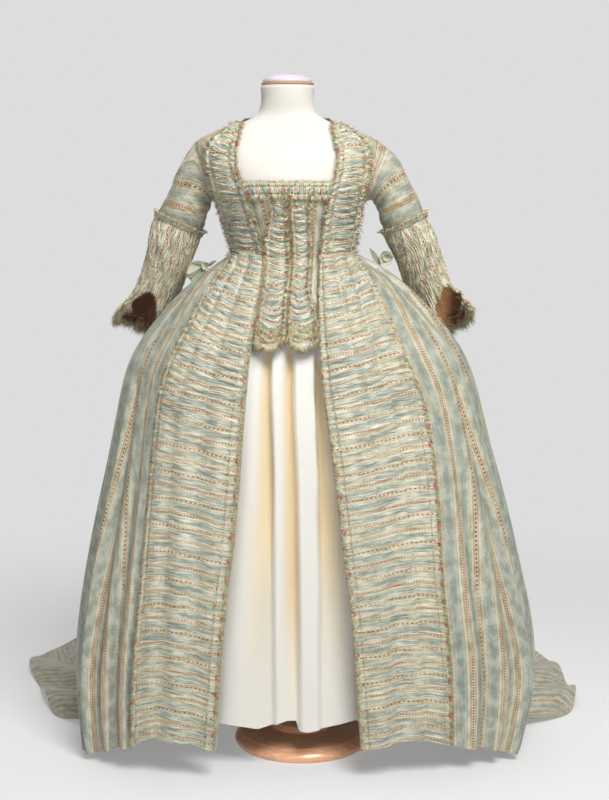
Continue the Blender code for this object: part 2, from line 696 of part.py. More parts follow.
def bow(name, panel, row, column, size, turn):
    """A bow that sits on the skirt's side panel: its knot, joined with its loops and tails."""
    i, j = int(row), int(column)
    corners = panel[i : i + 2, j : j + 2]
    out = unit(normals(corners).mean(axis=(0, 1)))
    spot = corners[0] * (1 - row + i) + corners[1] * (row - i)
    spot = spot[0] * (1 - column + j) + spot[1] * (column - j)
    centre = spot + out * (KNOT_RADIUS + BOW_STAND)
    out = unit(out + np.array([0.0, -turn, 0.0]))
    along = unit(np.cross((0.0, 0.0, 1.0), out))
    mesh = bpy.data.meshes.new(name)
    bm = bmesh.new()
    bmesh.ops.create_uvsphere(bm, u_segments=8, v_segments=5, radius=KNOT_RADIUS)
    bmesh.ops.translate(bm, verts=bm.verts, vec=Vector(placed(centre)))
    bm.to_mesh(mesh)
    bm.free()
    mesh.materials.append(MATERIALS["ribbon"])
    knot = bpy.data.objects.new(name, mesh)
    COLLECTION.objects.link(knot)
    for k, grid in enumerate(bow_pieces(centre, out, along, size)):
        piece = cloth(f"{name}_piece{k}", grid, "ribbon")
        piece.modifiers["wall"].offset = 0.0
        CUTTERS.objects.link(piece)
        COLLECTION.objects.unlink(piece)
        piece.hide_render = True
        piece.display_type = "WIRE"
        join = knot.modifiers.new(f"join{k}", "BOOLEAN")
        join.operation = "UNION"
        join.object = piece


# ---- the gown's skirt ------------------------------------------------------------------------
SKIRT_SHARES = np.array([0, 0.02, 0.05, 0.09, 0.145, 0.215, 0.30, 0.40, 0.51, 0.62, 0.74, 0.87, 1.0])
SKIRT_TOP = WAIST - SEAM


def seam_rib():
    """The seam between the front and the side panel, a point for each row."""
    return resampled(skirt_ribs([SKIRT_SIDE], 1, SKIRT_TOP, rib_point), SKIRT_SHARES)[:, 0]


def skirt_front():
    """The front panel: its first four columns lie under the trim, and the rest fall in folds."""
    rib = seam_rib()
    beyond = np.linspace(0, 1, 4 * FRONT_FOLDS)
    trim_share = np.concatenate([np.linspace(0, 1, 4), np.ones(len(beyond) - 1)])
    side_share = np.concatenate([np.zeros(3), beyond])
    start, end = HEM_DEGREES
    hem = HEM.at(start + (end - start) * trim_share + (SKIRT_SIDE - end) * side_share, "height")
    hem = hem * rib[-1, 2] / hem[-1]
    fall = (SKIRT_TOP - rib[:, 2:3]) / (SKIRT_TOP - rib[-1, 2])
    z = SKIRT_TOP - (SKIRT_TOP - hem) * fall
    width = SKIRT.at(z, "half_width")
    inner = angle_of(FRONT_EDGE.at(z, "inner"), width, FRONT_SQUARENESS)
    side = turned_seam(SKIRT_SIDE, z)
    outer = angle_of(FRONT_EDGE.at(z, "outer"), width, FRONT_SQUARENESS)
    outer = np.minimum(outer, inner + 0.93 * (side - inner))
    grid = skirt_point(inner + (outer - inner) * trim_share + (side - outer) * side_share, z)
    # The last column is the side panel's own edge, so that the two meet along it.
    grid[:, -1] = rib - np.array([SEAM, 0.0, 0.0])
    folds = 0.5 - 0.5 * np.cos(2 * math.pi * FRONT_FOLDS * side_share)
    return moved_out(grid, FRONT_FOLD_DEPTH * folds[None, :] * smoothstep(0.95, 0.15, z))


def skirt_trim(panel):
    strip = moved_out(panel, TRIM_LIFT + CLOTH)
    strip = denser(strip, 3)[:, :4]
    puff = np.array([0.4, 1.0, 1.0, 0.4])[None, :]
    return moved_out(strip, gathers(len(strip), 4, TRIM_GATHERS, TRIM_GATHER_DEPTH) * puff)


def side_folds(degrees, share):
    """Folds between the hip and the hem: deeper and rounder downwards, none at the seams."""
    place = (degrees - SKIRT_SIDE) / (BACK_EDGE - SKIRT_SIDE)
    wave = 0.5 - 0.5 * np.cos(2 * math.pi * SIDE_FOLDS * (place + 0.035 * np.sin(2 * math.pi * place)))
    uneven = 0.75 + 0.25 * np.sin(11 * place + 1)
    return SIDE_FOLD_DEPTH * wave * uneven * (0.10 + 0.90 * smoothstep(0.12, 0.85, share)) * np.minimum(1, share * 12)


def skirt_side(side):
    degrees = np.linspace(SKIRT_SIDE, BACK_EDGE - 0.06, 4 * SIDE_FOLDS + 1)
    grid = resampled(skirt_ribs(degrees, side, SKIRT_TOP, rib_point), SKIRT_SHARES)
    return moved_out(grid, side_folds(degrees[None, :], SKIRT_SHARES[:, None]))


def build_skirt():
    panel = skirt_front()
    for side, word in ((1, "right"), (-1, "left")):
        put = (lambda grid: swayed(grid)) if side > 0 else (lambda grid: swayed(mirrored(grid)))
        cloth(f"skirt_front_{word}", put(panel))
        cloth(f"skirt_trim_{word}", put(skirt_trim(panel)))
        hip = put(skirt_side(side))
        cloth(f"skirt_side_{word}", hip)
        bow(f"bow_{word}", hip, *BOWS[word])


# ---- the sack back ---------------------------------------------------------------------------
def sack_point(degrees, z):
    """Behind the side-back panels above the waist, and part of the skirt's ring low down."""
    z = np.asarray(z, float)
    half = np.where(z > WAIST, BODICE.at(z, "half_width"), SKIRT.at(z, "half_width"))
    back = np.where(z > WAIST, BODICE.at(z, "back"), SKIRT.at(z, "back"))
    edge_angle = np.radians(turned_seam(BACK_EDGE, z))
    edge_x, edge_y = half * np.sin(edge_angle), -back * np.cos(edge_angle)
    out = smoothstep(0.0, 0.89, z) * 0.012
    centre = np.where(z > 0.89, SACK.at(z, "centre_back"), SKIRT.at(z, "back") + out)
    s, c = math.sin(math.radians(BACK_EDGE)), -math.cos(math.radians(BACK_EDGE))
    bulge = (centre - edge_y) / (1 - c)
    angle = np.radians(degrees)
    return stack(edge_x / s * np.sin(angle), centre - bulge - bulge * np.cos(angle), z)


def plateau(x, low, high, edge):
    return smoothstep(low - edge, low + edge, x) * (1 - smoothstep(high - edge, high + edge, x))


def box_pleats(degrees, share):
    """A double box pleat each side: crisp at the neck, opening into round folds down to the train."""
    place = np.abs(180.0 - degrees) / (180.0 - BACK_EDGE)
    edge = 0.02 + 0.05 * share
    first = plateau(place, 0.07, 0.86, edge)
    second = plateau(place, 0.235, 0.68, edge)
    falling = PLEAT_TOP_DEPTH + (PLEAT_HEM_DEPTH - PLEAT_TOP_DEPTH) * smoothstep(0.15, 0.75, share)
    depth = falling + (TRAIN_FOLD_DEPTH - falling) * smoothstep(0.75, 0.98, share)
    return depth * (0.5 * first + 0.5 * second) * np.minimum(1, share * 30)


SACK_TOP_ROWS = np.array([1.3865, 1.368, 1.335, 1.290, 1.220, 1.150])
SACK_COLUMNS = np.array([0.0, 0.04, 0.10, 0.20, 0.27, 0.45, 0.64, 0.72, 0.82, 0.90, 1.0])


def sack_half(side):
    degrees = 180.0 - SACK_COLUMNS[::-1] * (180.0 - BACK_EDGE)
    upper = sack_point(degrees[None, :], SACK_TOP_ROWS[:, None])
    lower = resampled(skirt_ribs(degrees, side, SKIRT_TOP, sack_point), SKIRT_SHARES)
    grid = np.concatenate([upper, lower])
    stand = SACK_STAND * smoothstep(0.95, WAIST, grid[..., 2])
    share = np.linspace(0, 1, len(grid))[:, None]
    return moved_out(grid, stand + box_pleats(degrees[None, :], share))


def build_sack():
    right = sack_half(1)
    left = mirrored(sack_half(-1))
    middle = (right[:, -1:] + left[:, :1]) / 2
    middle[..., 0] = 0
    cloth("sack_back", swayed(np.concatenate([right[:, :-1], middle, left[:, 1:]], axis=1)))
    # The gathered strip round the back of the neck joins the two robings.
    start, end = NECK_STRIP["degrees"]
    along = np.linspace(0, 1, 3 * NECK_STRIP["waves"] + 1)[None, :]
    degrees = start + (end - start) * along
    behind = smoothstep(start + 6, BACK_EDGE - 1, 180 - np.abs(180 - degrees))
    z = NECK_STRIP["foot"] + NECK_STRIP["rise"] * behind + NECK_STRIP["height"] * np.array([1, 0.5, 0])[:, None]
    strip = bodice_point(degrees, z)
    stand = NECK_STRIP_STAND + NECK_STRIP_WAVE * np.cos(2 * math.pi * NECK_STRIP["waves"] * along)
    cloth("neck_strip_back", moved_out(strip, stand + 0 * z))


# ---- petticoat -------------------------------------------------------------------------------
def petticoat_turns(columns):
    """Degrees round the petticoat for even steps along its ring, closer together in front."""
    degrees = np.linspace(0, 360, 721)
    x, y = ring(degrees, *PETTICOAT.rows[3, 1:], FRONT_SQUARENESS)
    step = np.hypot(np.diff(x), np.diff(y)) * np.where(y[:-1] < -0.05, PETTICOAT_FRONT, 1.0)
    along = np.concatenate([[0], np.cumsum(step)]) / step.sum()
    return np.interp(np.linspace(0, 1, columns + 1)[:-1], along, degrees)


def petticoat_grid(rows=7, per_pleat=4):
    """A closed ring of soft pleats that deepen from the waist to the hem."""
    degrees = petticoat_turns(PETTICOAT_PLEATS * per_pleat)[None, :]
    place = np.linspace(0, 1, degrees.shape[1] + 1)[:-1][None, :]
    down = (np.linspace(0, 1, rows)[:, None]) ** 1.3
    top, hem = PETTICOAT.rows[-1, 0], PETTICOAT.rows[0, 0]
    z = top + (hem - top) * down
    x, y = ring(degrees, *(PETTICOAT.at(z, n) for n in ("half_width", "front", "back")), FRONT_SQUARENESS)
    grid = stack(x, y, z)
    loop = np.concatenate([grid[:, -1:], grid, grid[:, :1]], axis=1)
    turn = 2 * math.pi * place * PETTICOAT_PLEATS
    wave = 0.5 + 0.5 * np.cos(turn + 0.5 * np.sin(4 * math.pi * place + 3 * down))
    return grid + normals(loop)[:, 1:-1] * (PETTICOAT_PLEAT_DEPTH * wave * smoothstep(0.0, 0.35, down))[..., None]


# ---- the dress form --------------------------------------------------------------------------
def form_grid():
    """Rings of the form: its hips below the waist, and the bodice's own shape, inset, above."""
    hips = [FORM_BOTTOM, 0.91, 0.97, 1.02, 1.06, 1.082]
    neck = [1.392, 1.404, 1.422, NECK_TOP]
    z = np.concatenate([hips, BODICE_ROWS, neck])[:, None]
    degrees = np.linspace(0, 360, 29)[:-1][None, :]
    names = ("half_width", "front", "back")
    inset = WAIST_INSET + (FORM_INSET - WAIST_INSET) * smoothstep(1.10, 1.16, z)
    inset = inset * (1 - smoothstep(1.40, 1.44, z))
    drop = FORM_DROP * smoothstep(1.30, 1.345, z) * (1 - smoothstep(1.395, 1.43, z))
    body = [BODICE.at(z + drop, n) - inset for n in names]
    sizes = [np.where(z > 1.09, b, FORM_HIPS.at(z, n)) for b, n in zip(body, names)]
    x, y = ring(degrees, *sizes)
    return stack(x, y, z)


def form_torso():
    grid = placed(form_grid())
    rows, columns = grid.shape[:2]
    faces = []
    for i in range(rows - 1):
        for j in range(columns):
            k = (j + 1) % columns
            faces.append((i * columns + j, i * columns + k, (i + 1) * columns + k, (i + 1) * columns + j))
    faces.append(tuple(range(columns))[::-1])
    faces.append(tuple((rows - 1) * columns + j for j in range(columns)))
    return new_object("form_torso", grid.reshape(-1, 3), faces, "form")


def build_form():
    form_torso()
    middle = float(LEAN.at(NECK_TOP, "shift"))
    low, r = NECK_TOP + SEAM, NECK_RING["radius"]
    top = low + NECK_RING["height"] - SEAM
    profile = [(0, top), (r - ROUNDING, top), (r, top - ROUNDING), (r - ROUNDING, low), (0, low)]
    turned("form_neck_ring", profile, "wood", middle, steps=24)
    r, low, edge = NECK_CAP["radius"], top + SEAM, top + SEAM + ROUNDING
    quarter = np.linspace(0, math.pi / 2, 6)
    arc = [(r * math.sin(a), edge + (NECK_CAP["top"] - edge) * math.cos(a)) for a in quarter]
    turned("form_neck_cap", arc + [(r, low), (0, low)], "cap", middle, steps=20)
    low, top = COLLAR_TOP + SEAM, FORM_BOTTOM - SEAM
    turned("form_post", [(0, top), (POST_RADIUS, top), (POST_RADIUS, low), (0, low)], "wood", steps=16)
    turned("form_foot", [(0, FOOT_TOP)] + FOOT + [(0, 0)], "wood", steps=28)
    turned("form_collar", [(0, COLLAR_TOP)] + COLLAR + [(0, FOOT_TOP + SEAM)], "wood", steps=24)


# ---- the whole part --------------------------------------------------------------------------
def clear_scene():
    for obj in list(bpy.data.objects):
        bpy.data.objects.remove(obj)


def make_materials():
    made = {}
    for name, colour in COLOURS.items():
        material = bpy.data.materials.new(name)
        material.use_nodes = True
        shader = material.node_tree.nodes["Principled BSDF"]
        shader.inputs["Base Color"].default_value = colour
        shader.inputs["Roughness"].default_value = ROUGHNESS[name]
        made[name] = material
    return made


clear_scene()
COLLECTION = bpy.data.collections.new("robe_a_la_francaise")
CUTTERS = bpy.data.collections.new("joined_pieces")
for made_collection in (COLLECTION, CUTTERS):
    bpy.context.scene.collection.children.link(made_collection)
MATERIALS = make_materials()

build_bodice()
build_stomacher()
build_sleeves()
build_skirt()
build_sack()
cloth("petticoat", petticoat_grid(), "petticoat", closed=True)
build_form()
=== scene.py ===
"""Looks of a robe a la francaise on its limbless dress form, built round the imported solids.

Every piece of cloth is a surface of two parameters worked out as whole arrays: rows run down the
garment and columns run across it. Lengths are in metres, +Z is up and the front faces -Y.
The file is laid out as an add-on with one operator for each group of pieces, and runs as a script.
"""

import math

import bpy
import numpy as np
from bpy.props import FloatProperty, FloatVectorProperty, IntProperty, PointerProperty
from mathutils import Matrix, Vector


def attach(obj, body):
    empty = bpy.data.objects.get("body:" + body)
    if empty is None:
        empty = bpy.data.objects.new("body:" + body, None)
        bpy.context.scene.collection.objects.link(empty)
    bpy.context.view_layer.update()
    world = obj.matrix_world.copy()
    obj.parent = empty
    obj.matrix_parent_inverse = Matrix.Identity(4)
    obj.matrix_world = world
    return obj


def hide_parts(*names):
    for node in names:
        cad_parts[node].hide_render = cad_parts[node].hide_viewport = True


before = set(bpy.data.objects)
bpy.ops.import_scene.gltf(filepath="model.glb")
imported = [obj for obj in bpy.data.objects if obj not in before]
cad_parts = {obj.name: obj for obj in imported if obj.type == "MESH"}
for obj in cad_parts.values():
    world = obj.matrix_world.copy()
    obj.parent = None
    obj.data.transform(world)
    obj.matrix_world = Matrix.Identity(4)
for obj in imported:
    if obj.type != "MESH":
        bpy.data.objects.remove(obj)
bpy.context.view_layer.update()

bl_info = {
    "name": "Robe a la Francaise",
    "version": (1, 0, 0),
    "blender": (4, 5, 0),
    "location": "View3D > Sidebar > Robe",
    "description": "Dresses a dress form in a striped silk gown with gathered trimmings",
    "category": "Object",
}


TURN = 2 * math.pi  # radians

# ---- sizes of the gown -----------------------------------------------------------------------
CLOTH = 0.0015  # wall of the solids that the silk lies on
SILK = 0.0009  # thickness of the silk itself
SEAM = 0.0003
LIFT = 0.0008
TRIM_LIFT = 0.0012
SACK_STAND = 0.0040
FLOOR = 0.0006
WAIST = 1.098
SIDE_Y = 0.010
BEND_STEPS = 14  # rounds of smoothing where the skirt meets the floor
SWEEP = {"degrees": (108.0, 122.0), "steps": 70}  # and for the left of the train
SKIRT_SIDE = 62.0
HEM_DEGREES = (14.0, 38.0)
WAIST_TURN = 14.0
BACK_EDGE = 125.0
FRONT_SQUARENESS = 2.3
SKIRT_TOP = WAIST - SEAM
NECK_TOP = 1.462
# How much further out than the tables each arm hangs, half way down the sleeve and at the cuff's end;
# width widens the cuff across. At its notch, a share of a turn round it, it is shorter by the share
# cut, and the higher its narrowness the faster it grows long again to both sides.
ARMS = {
    "right": {"middle": 0.006, "end": 0.012, "width": 1.00, "notch": 0.155, "cut": 0.40, "narrowness": 3.2},
    "left": {"middle": -0.008, "end": -0.030, "width": 1.05, "notch": 0.225, "cut": 0.40, "narrowness": 5.5},
}

ARMHOLE = {"z": 1.279, "half_height": 0.066, "half_depth": 0.052}


class Table:
    """A short table whose columns have names. It is read smoothly down its first column."""

    def __init__(self, text):
        names, *rows = text.strip().splitlines()
        self.names = names.split()
        self.rows = np.array(sorted([float(cell) for cell in row.split()] for row in rows))

    def at(self, where, name):
        """The named column at these values of the first one: a cubic through the rows."""
        x, y = self.rows[:, 0], self.rows[:, self.names.index(name)]
        slope = np.gradient(y, x)
        where = np.clip(np.asarray(where, float), x[0], x[-1])
        i = np.clip(np.searchsorted(x, where) - 1, 0, len(x) - 2)
        h = x[i + 1] - x[i]
        t = (where - x[i]) / h
        start = (1 + 2 * t) * (1 - t) ** 2 * y[i] + t * (1 - t) ** 2 * h * slope[i]
        return start + t**2 * (3 - 2 * t) * y[i + 1] + t**2 * (t - 1) * h * slope[i + 1]


# ---- the tables ------------------------------------------------------------------------------
BODICE = Table("""
    z half_width front back
    1.098 0.134 0.108 0.098
    1.150 0.142 0.114 0.102
    1.213 0.160 0.130 0.110
    1.250 0.180 0.133 0.115
    1.290 0.193 0.122 0.116
    1.330 0.198 0.098 0.110
    1.350 0.188 0.080 0.101
    1.370 0.146 0.064 0.088
    1.388 0.099 0.054 0.073
    1.404 0.071 0.050 0.062
    1.420 0.060 0.051 0.058
    1.462 0.0575 0.056 0.056
""")
FORM_HIPS = Table("""
    z half_width front back
    0.860 0.150 0.105 0.115
    0.900 0.166 0.118 0.130
    1.000 0.160 0.116 0.122
    1.050 0.143 0.111 0.106
    1.075 0.134 0.107 0.098
    1.098 0.1316 0.1056 0.0956
    1.150 0.1396 0.1116 0.0996
""")
SKIRT = Table("""
    z half_width front back
    0.000 0.496 0.257 0.640
    0.150 0.508 0.250 0.520
    0.330 0.488 0.240 0.430
    0.440 0.468 0.234 0.385
    0.556 0.444 0.227 0.345
    0.670 0.417 0.218 0.310
    0.780 0.392 0.208 0.280
    0.890 0.362 0.193 0.250
    0.950 0.312 0.178 0.228
    1.020 0.250 0.154 0.190
    1.070 0.188 0.128 0.140
    1.098 0.134 0.108 0.098
""")
SACK = Table("""
    z centre_back
    0.890 0.262
    1.000 0.222
    1.098 0.186
    1.200 0.152
    1.290 0.128
    1.350 0.108
    1.388 0.080
""")
FRONT_EDGE = Table("""
    z inner outer
    0.050 0.154 0.345
    0.260 0.139 0.334
    0.400 0.126 0.320
    0.500 0.113 0.312
    0.605 0.102 0.304
    0.716 0.091 0.292
    0.820 0.079 0.272
    0.890 0.073 0.245
    0.960 0.066 0.210
    1.020 0.060 0.180
    1.060 0.057 0.155
    1.098 0.0565 0.130
    1.156 0.066 0.139
    1.215 0.080 0.152
    1.243 0.089 0.160
    1.282 0.103 0.168
    1.324 0.107 0.170
    1.350 0.103 0.150
    1.383 0.096 0.100
""")
# How far up the hem hangs and how far the cloth runs out over the floor, round from the front.
HEM = Table("""
    degrees height run_right run_left
    0.0 0.066 0.000 0.000
    14.0 0.068 0.000 0.000
    22.0 0.080 0.000 0.000
    30.0 0.082 0.000 0.000
    38.0 0.062 0.000 0.000
    51.0 0.044 0.000 0.000
    62.0 0.024 0.000 0.000
    78.0 0.004 0.000 0.000
    86.0 0.000 0.002 0.002
    94.0 0.000 0.010 0.006
    97.5 0.000 0.075 0.040
    101.0 0.000 0.165 0.112
    106.0 0.000 0.220 0.170
    113.0 0.000 0.265 0.250
    120.0 0.000 0.315 0.375
    130.0 0.000 0.390 0.430
    150.0 0.000 0.430 0.440
    165.0 0.000 0.430 0.425
    180.0 0.000 0.430 0.430
""")
# How far the outer part of the skirt stands to the right of its front opening, on each side.
SWAY = Table("""
    z right left
    0.000 0.008 0.045
    0.150 0.026 0.044
    0.440 0.024 0.038
    0.670 0.024 0.032
    0.890 0.022 0.024
    1.050 0.006 0.006
    1.098 0.000 0.000
""")
# The gown leans: how far left of the stand's post its middle lies.
LEAN = Table("""
    z shift
    0.000 -0.028
    0.600 -0.029
    0.930 -0.033
    1.000 -0.028
    1.098 -0.020
    1.200 -0.026
    1.320 -0.031
    1.500 -0.030
""")
# Rings of the sleeve for the right arm: centre, slope of the arm below level, half sizes.
SLEEVE = Table("""
    share x y z slope half depth
    0.00 0.181 0.010 1.279 13.6 0.068 0.052
    0.25 0.204 0.018 1.262 33.0 0.054 0.053
    0.50 0.223 0.026 1.226 52.0 0.049 0.053
    0.78 0.238 0.034 1.190 62.0 0.050 0.051
    1.00 0.2525 0.0425 1.157 65.0 0.0488 0.0496
""")
CUFF = Table("""
    share x y z slope half depth
    0.00 0.2485 0.040 1.167 65.0 0.0524 0.0520
    0.22 0.2730 0.053 1.111 67.0 0.0490 0.0500
    0.45 0.2930 0.076 1.056 68.0 0.0460 0.0480
    0.67 0.3190 0.104 1.002 66.0 0.0470 0.0480
    0.86 0.3480 0.132 0.955 62.0 0.0520 0.0500
    1.00 0.3690 0.152 0.916 58.0 0.0550 0.0540
""")
STOMACHER_HEM = Table("""
    share z
    0.0 0.938
    0.25 0.920
    0.55 0.914
    0.8 0.922
    1.0 0.934
""")
PETTICOAT = Table("""
    z half_width front back
    0.088 0.410 0.178 0.320
    0.300 0.395 0.180 0.300
    0.560 0.355 0.180 0.265
    0.780 0.310 0.172 0.220
    0.890 0.280 0.160 0.190
    0.960 0.232 0.146 0.165
    1.020 0.185 0.128 0.138
    1.060 0.150 0.114 0.114
    1.082 0.1365 0.1086 0.0990
""")


# ---- points, grids and walls -----------------------------------------------------------------
def smoothstep(low, high, x):
    t = np.clip((np.asarray(x, float) - low) / (high - low), 0, 1)
    return t * t * (3 - 2 * t)


def downwards(rows):
    """Even shares from 0 to 1 down a grid."""
    return np.linspace(0, 1, rows)[:, None]


def sideways(columns):
    """Even shares from 0 to 1 across a grid."""
    return np.linspace(0, 1, columns)[None, :]


def unit(vectors):
    return vectors / np.maximum(np.linalg.norm(vectors, axis=-1, keepdims=True), 1e-9)


def stack(*parts):
    """Arrays side by side along a new last axis, each first stretched to the shape of all."""
    return np.stack(np.broadcast_arrays(*parts), axis=-1)


def ring(degrees, half_width, front, back, squareness=2.0):
    """x and y of a plan section: a superellipse in front of the side line, an ellipse behind."""
    angle = np.radians(degrees)
    s, c = np.sin(angle), np.cos(angle)
    power = np.where(c > 0, 2.0 / squareness, 1.0)
    x = half_width * np.sign(s) * np.abs(s) ** power
    y = -np.where(c > 0, front, back) * np.sign(c) * np.abs(c) ** power
    return x, y


def angle_of(x, half_width, squareness=2.0):
    """Degrees round from the front where the front half of a section has this x."""
    share = np.clip(np.asarray(x) / half_width, 0, 1)
    return np.degrees(np.arcsin(share ** (squareness / 2.0)))


def normals(grid):
    """Unit normals of a grid whose rows go down and whose columns go round: they point outwards."""
    down = np.gradient(grid, axis=0)
    across = np.gradient(grid, axis=1)
    return unit(np.cross(down, across))


def moved_out(grid, distance):
    return grid + normals(grid) * np.asarray(distance)[..., None]


def mirrored(grid):
    """The other side's grid, with its columns turned round so that it still faces outwards."""
    return (grid * (-1, 1, 1))[:, ::-1]


def turned_round(values):
    """The columns of a flat map, or of depths, turned round as the mirrored grid's are."""
    return values[:, ::-1]


def unchanged(values):
    return values


# Both sides: name, sign, and what takes a grid and its values from the right side to that one.
SIDES = (("right", 1, unchanged, unchanged), ("left", -1, mirrored, turned_round))


def section(table, z):
    """Half width, front and back of the table's section at these heights."""
    return [table.at(z, name) for name in ("half_width", "front", "back")]


def bodice_point(degrees, z):
    return stack(*ring(degrees, *section(BODICE, z)), z)


def skirt_point(degrees, z):
    return stack(*ring(degrees, *section(SKIRT, z), FRONT_SQUARENESS), z)


def turned_seam(degrees, z):
    """Ribs of the skirt bend round towards the side as they near the waist."""
    degrees = np.asarray(degrees, float)
    share = np.where(degrees < SKIRT_SIDE, degrees / SKIRT_SIDE, (180 - degrees) / (180 - SKIRT_SIDE))
    return degrees + WAIST_TURN * share * smoothstep(0.98, WAIST, z)


def rib_point(degrees, z):
    return skirt_point(turned_seam(degrees, z), z)


def swayed(grid):
    """The skirt stands a little to the right of the waist, but its front opening doesn't."""
    out = grid.copy()
    away = smoothstep(0.55, 0.92, np.abs(grid[..., 0]) / SKIRT.at(grid[..., 2], "half_width"))
    away = np.maximum(away, smoothstep(0.0, 0.25, grid[..., 1]))
    shift = np.where(grid[..., 0] > 0, SWAY.at(grid[..., 2], "right"), SWAY.at(grid[..., 2], "left"))
    middle = smoothstep(0.25, 0.0, np.abs(grid[..., 0]))
    shift += (SWAY.at(grid[..., 2], "right") + SWAY.at(grid[..., 2], "left") - 2 * shift) / 2 * middle
    out[..., 0] += shift * away
    return out


def resampled(ribs, shares):
    """Each column of ribs again, at these shares of its own length."""
    step = np.linalg.norm(np.diff(ribs, axis=0), axis=2)
    along = np.concatenate([np.zeros((1, ribs.shape[1])), np.cumsum(step, axis=0)])
    wanted = np.asarray(shares)[:, None] * along[-1]
    low = (along[None, :, :] <= wanted[:, None, :]).sum(axis=1) - 1
    low = np.clip(low, 0, len(ribs) - 2)
    here = np.take_along_axis(along, low, 0)
    there = np.take_along_axis(along, low + 1, 0)
    part = ((wanted - here) / np.maximum(there - here, 1e-9))[..., None]
    index = low[..., None]
    return np.take_along_axis(ribs, index, 0) * (1 - part) + np.take_along_axis(ribs, index + 1, 0) * part


def skirt_ribs(degrees, side, top, point):
    """Fine ribs of the skirt: down from a height to the hem or the floor, then out along it."""
    degrees = np.asarray(degrees, float)
    fall, floor_steps = 60, 16
    height = np.maximum(HEM.at(degrees, "height"), CLOTH + FLOOR)
    run = np.maximum(HEM.at(degrees, "run_right" if side > 0 else "run_left"), 0.0005)
    down = downwards(fall)
    drop = point(degrees[None, :], top + (height - top)[None, :] * down)
    out = unit(drop[-1] * (1, 1, 0))
    flat = np.linspace(0, 1, floor_steps + 1)[1:, None, None] * run[None, :, None] * out[None]
    ribs = np.concatenate([drop, drop[-1][None] + flat])
    # Rounding the bend where the cloth meets the floor; the train sweeps out more softly on the left.
    swept = smoothstep(*SWEEP["degrees"], degrees) * (side < 0)
    for k in range(SWEEP["steps"]):
        softer = ribs[:-2] * 0.25 + ribs[1:-1] * 0.5 + ribs[2:] * 0.25
        share = 1.0 if k < BEND_STEPS else swept[None, :, None]
        ribs[1:-1] += (softer - ribs[1:-1]) * share
    return ribs


def placed(points):
    """Garment points in the frame, leaning as the stand does."""
    out = np.array(points, float)
    out[..., 0] += LEAN.at(out[..., 2], "shift")
    return out


def rows_between(values, times):
    """The same row places with more between them, evenly."""
    places = np.linspace(0, len(values) - 1, (len(values) - 1) * times + 1)
    return np.interp(places, np.arange(len(values)), values)


def arc(grid, axis):
    """Length walked along the grid's rows (axis 0) or columns (axis 1) up to each point."""
    step = np.linalg.norm(np.diff(grid, axis=axis), axis=-1)
    start = np.zeros_like(np.take(step, [0], axis=axis))
    return np.concatenate([start, np.cumsum(step, axis=axis)], axis=axis)


def looped(grid):
    """A closed grid with its first column again at the end."""
    return np.concatenate([grid, grid[:, :1]], axis=1)


def ring_normals(grid):
    """Normals of a closed grid, across its seam too."""
    return normals(np.concatenate([grid[:, -1:], grid, grid[:, :1]], axis=1))[:, 1:-1]


def wave(x, seed, rates=(1.0, 2.3, 5.1), sizes=(1.0, 0.5, 0.3)):
    """An uneven smooth wave, about -1 to 1: sines of several rates whose starts the seed picks."""
    starts = np.random.default_rng(seed).uniform(0, TURN, len(rates))
    parts = zip(rates, sizes, starts)
    return sum(size * np.sin(TURN * rate * x + start) for rate, size, start in parts) / sum(sizes)


# The gathered strips: the rows of gathering thread in shares of the width, the step of the ridges
# and their depth, how far a puff stands up, and how many times longer the silk is than the strip.
GATHERS = {
    name: {"lines": lines, "ridge": ridge, "depth": depth, "puff": puff, "full": full}
    for name, lines, ridge, depth, puff, full in [
        ("robing", (0.0, 0.16, 0.84, 1.0), 0.0066, 0.0036, 0.0030, 1.6),
        ("strip", (0.0, 0.14, 0.86, 1.0), 0.0062, 0.0038, 0.0036, 1.6),
        ("band", (0.0, 0.25, 0.80, 1.0), 0.0062, 0.0034, 0.0026, 1.6),
        ("trim", (0.0, 0.045, 0.36, 0.66, 0.955, 1.0), 0.0068, 0.0048, 0.0050, 1.5),
        ("neck", (0.0, 0.5, 1.0), 0.0056, 0.0018, 0.0010, 1.5),
    ]
}


def thread_gaps(share, lines):
    """Each gap between two rows of thread: its number, both its edges and where it lies."""
    last = len(lines) - 2
    for k, (low, high) in enumerate(zip(lines[:-1], lines[1:])):
        yield k, low, high, (share >= low) & (share < high + (k == last))


def ruching(along, share, gathers, seed):
    """Height of a gathered strip over its ground, for a length along it and a share across it.

    Between two rows of gathering thread the cloth stands up in a puff, a flat-topped arch, and
    ridges run across it: the absolute sine of the length, whose steps each puff warps in its own
    way. Some ridges swell and others die out. At the threads the ridges are low and the puff is
    nothing.
    """
    height, ridge = 0.0, gathers["ridge"]
    for k, low, high, inside in thread_gaps(share, gathers["lines"]):
        t = np.clip((share - low) / (high - low), 0, 1)
        crown = 1 - np.abs(2 * t - 1) ** 3
        place = along / ridge + 1.1 * wave(along / (7 * ridge), seed + k)
        place = place + 0.45 * wave(along / (9 * ridge) + 0.8 * t, seed + 40 + k)
        ridges = np.abs(np.sin(math.pi * place)) ** 0.8
        size = np.clip(0.60 + 0.65 * wave(along / (2.3 * ridge) + 0.8 * t, seed + 80 + k), 0.05, 1.3)
        swell = 1 + 0.45 * wave(along / (8 * ridge), seed + 120 + k)
        raised = gathers["depth"] * ridges * size * (0.40 + 0.60 * crown)
        height = height + inside * (gathers["puff"] * crown * swell + raised)
    return height * bpy.context.scene.robe_cloth.ridge_depth


def gathered(base, rows, gathers, seed):
    """A strip's base again in even rows, the length along it, the share across it, and its gathers."""
    base = resampled(base, np.linspace(0, 1, rows))
    along = arc(base, 0).mean(axis=1, keepdims=True)
    share = sideways(base.shape[1])
    return base, along, share, ruching(along, share, gathers, seed)


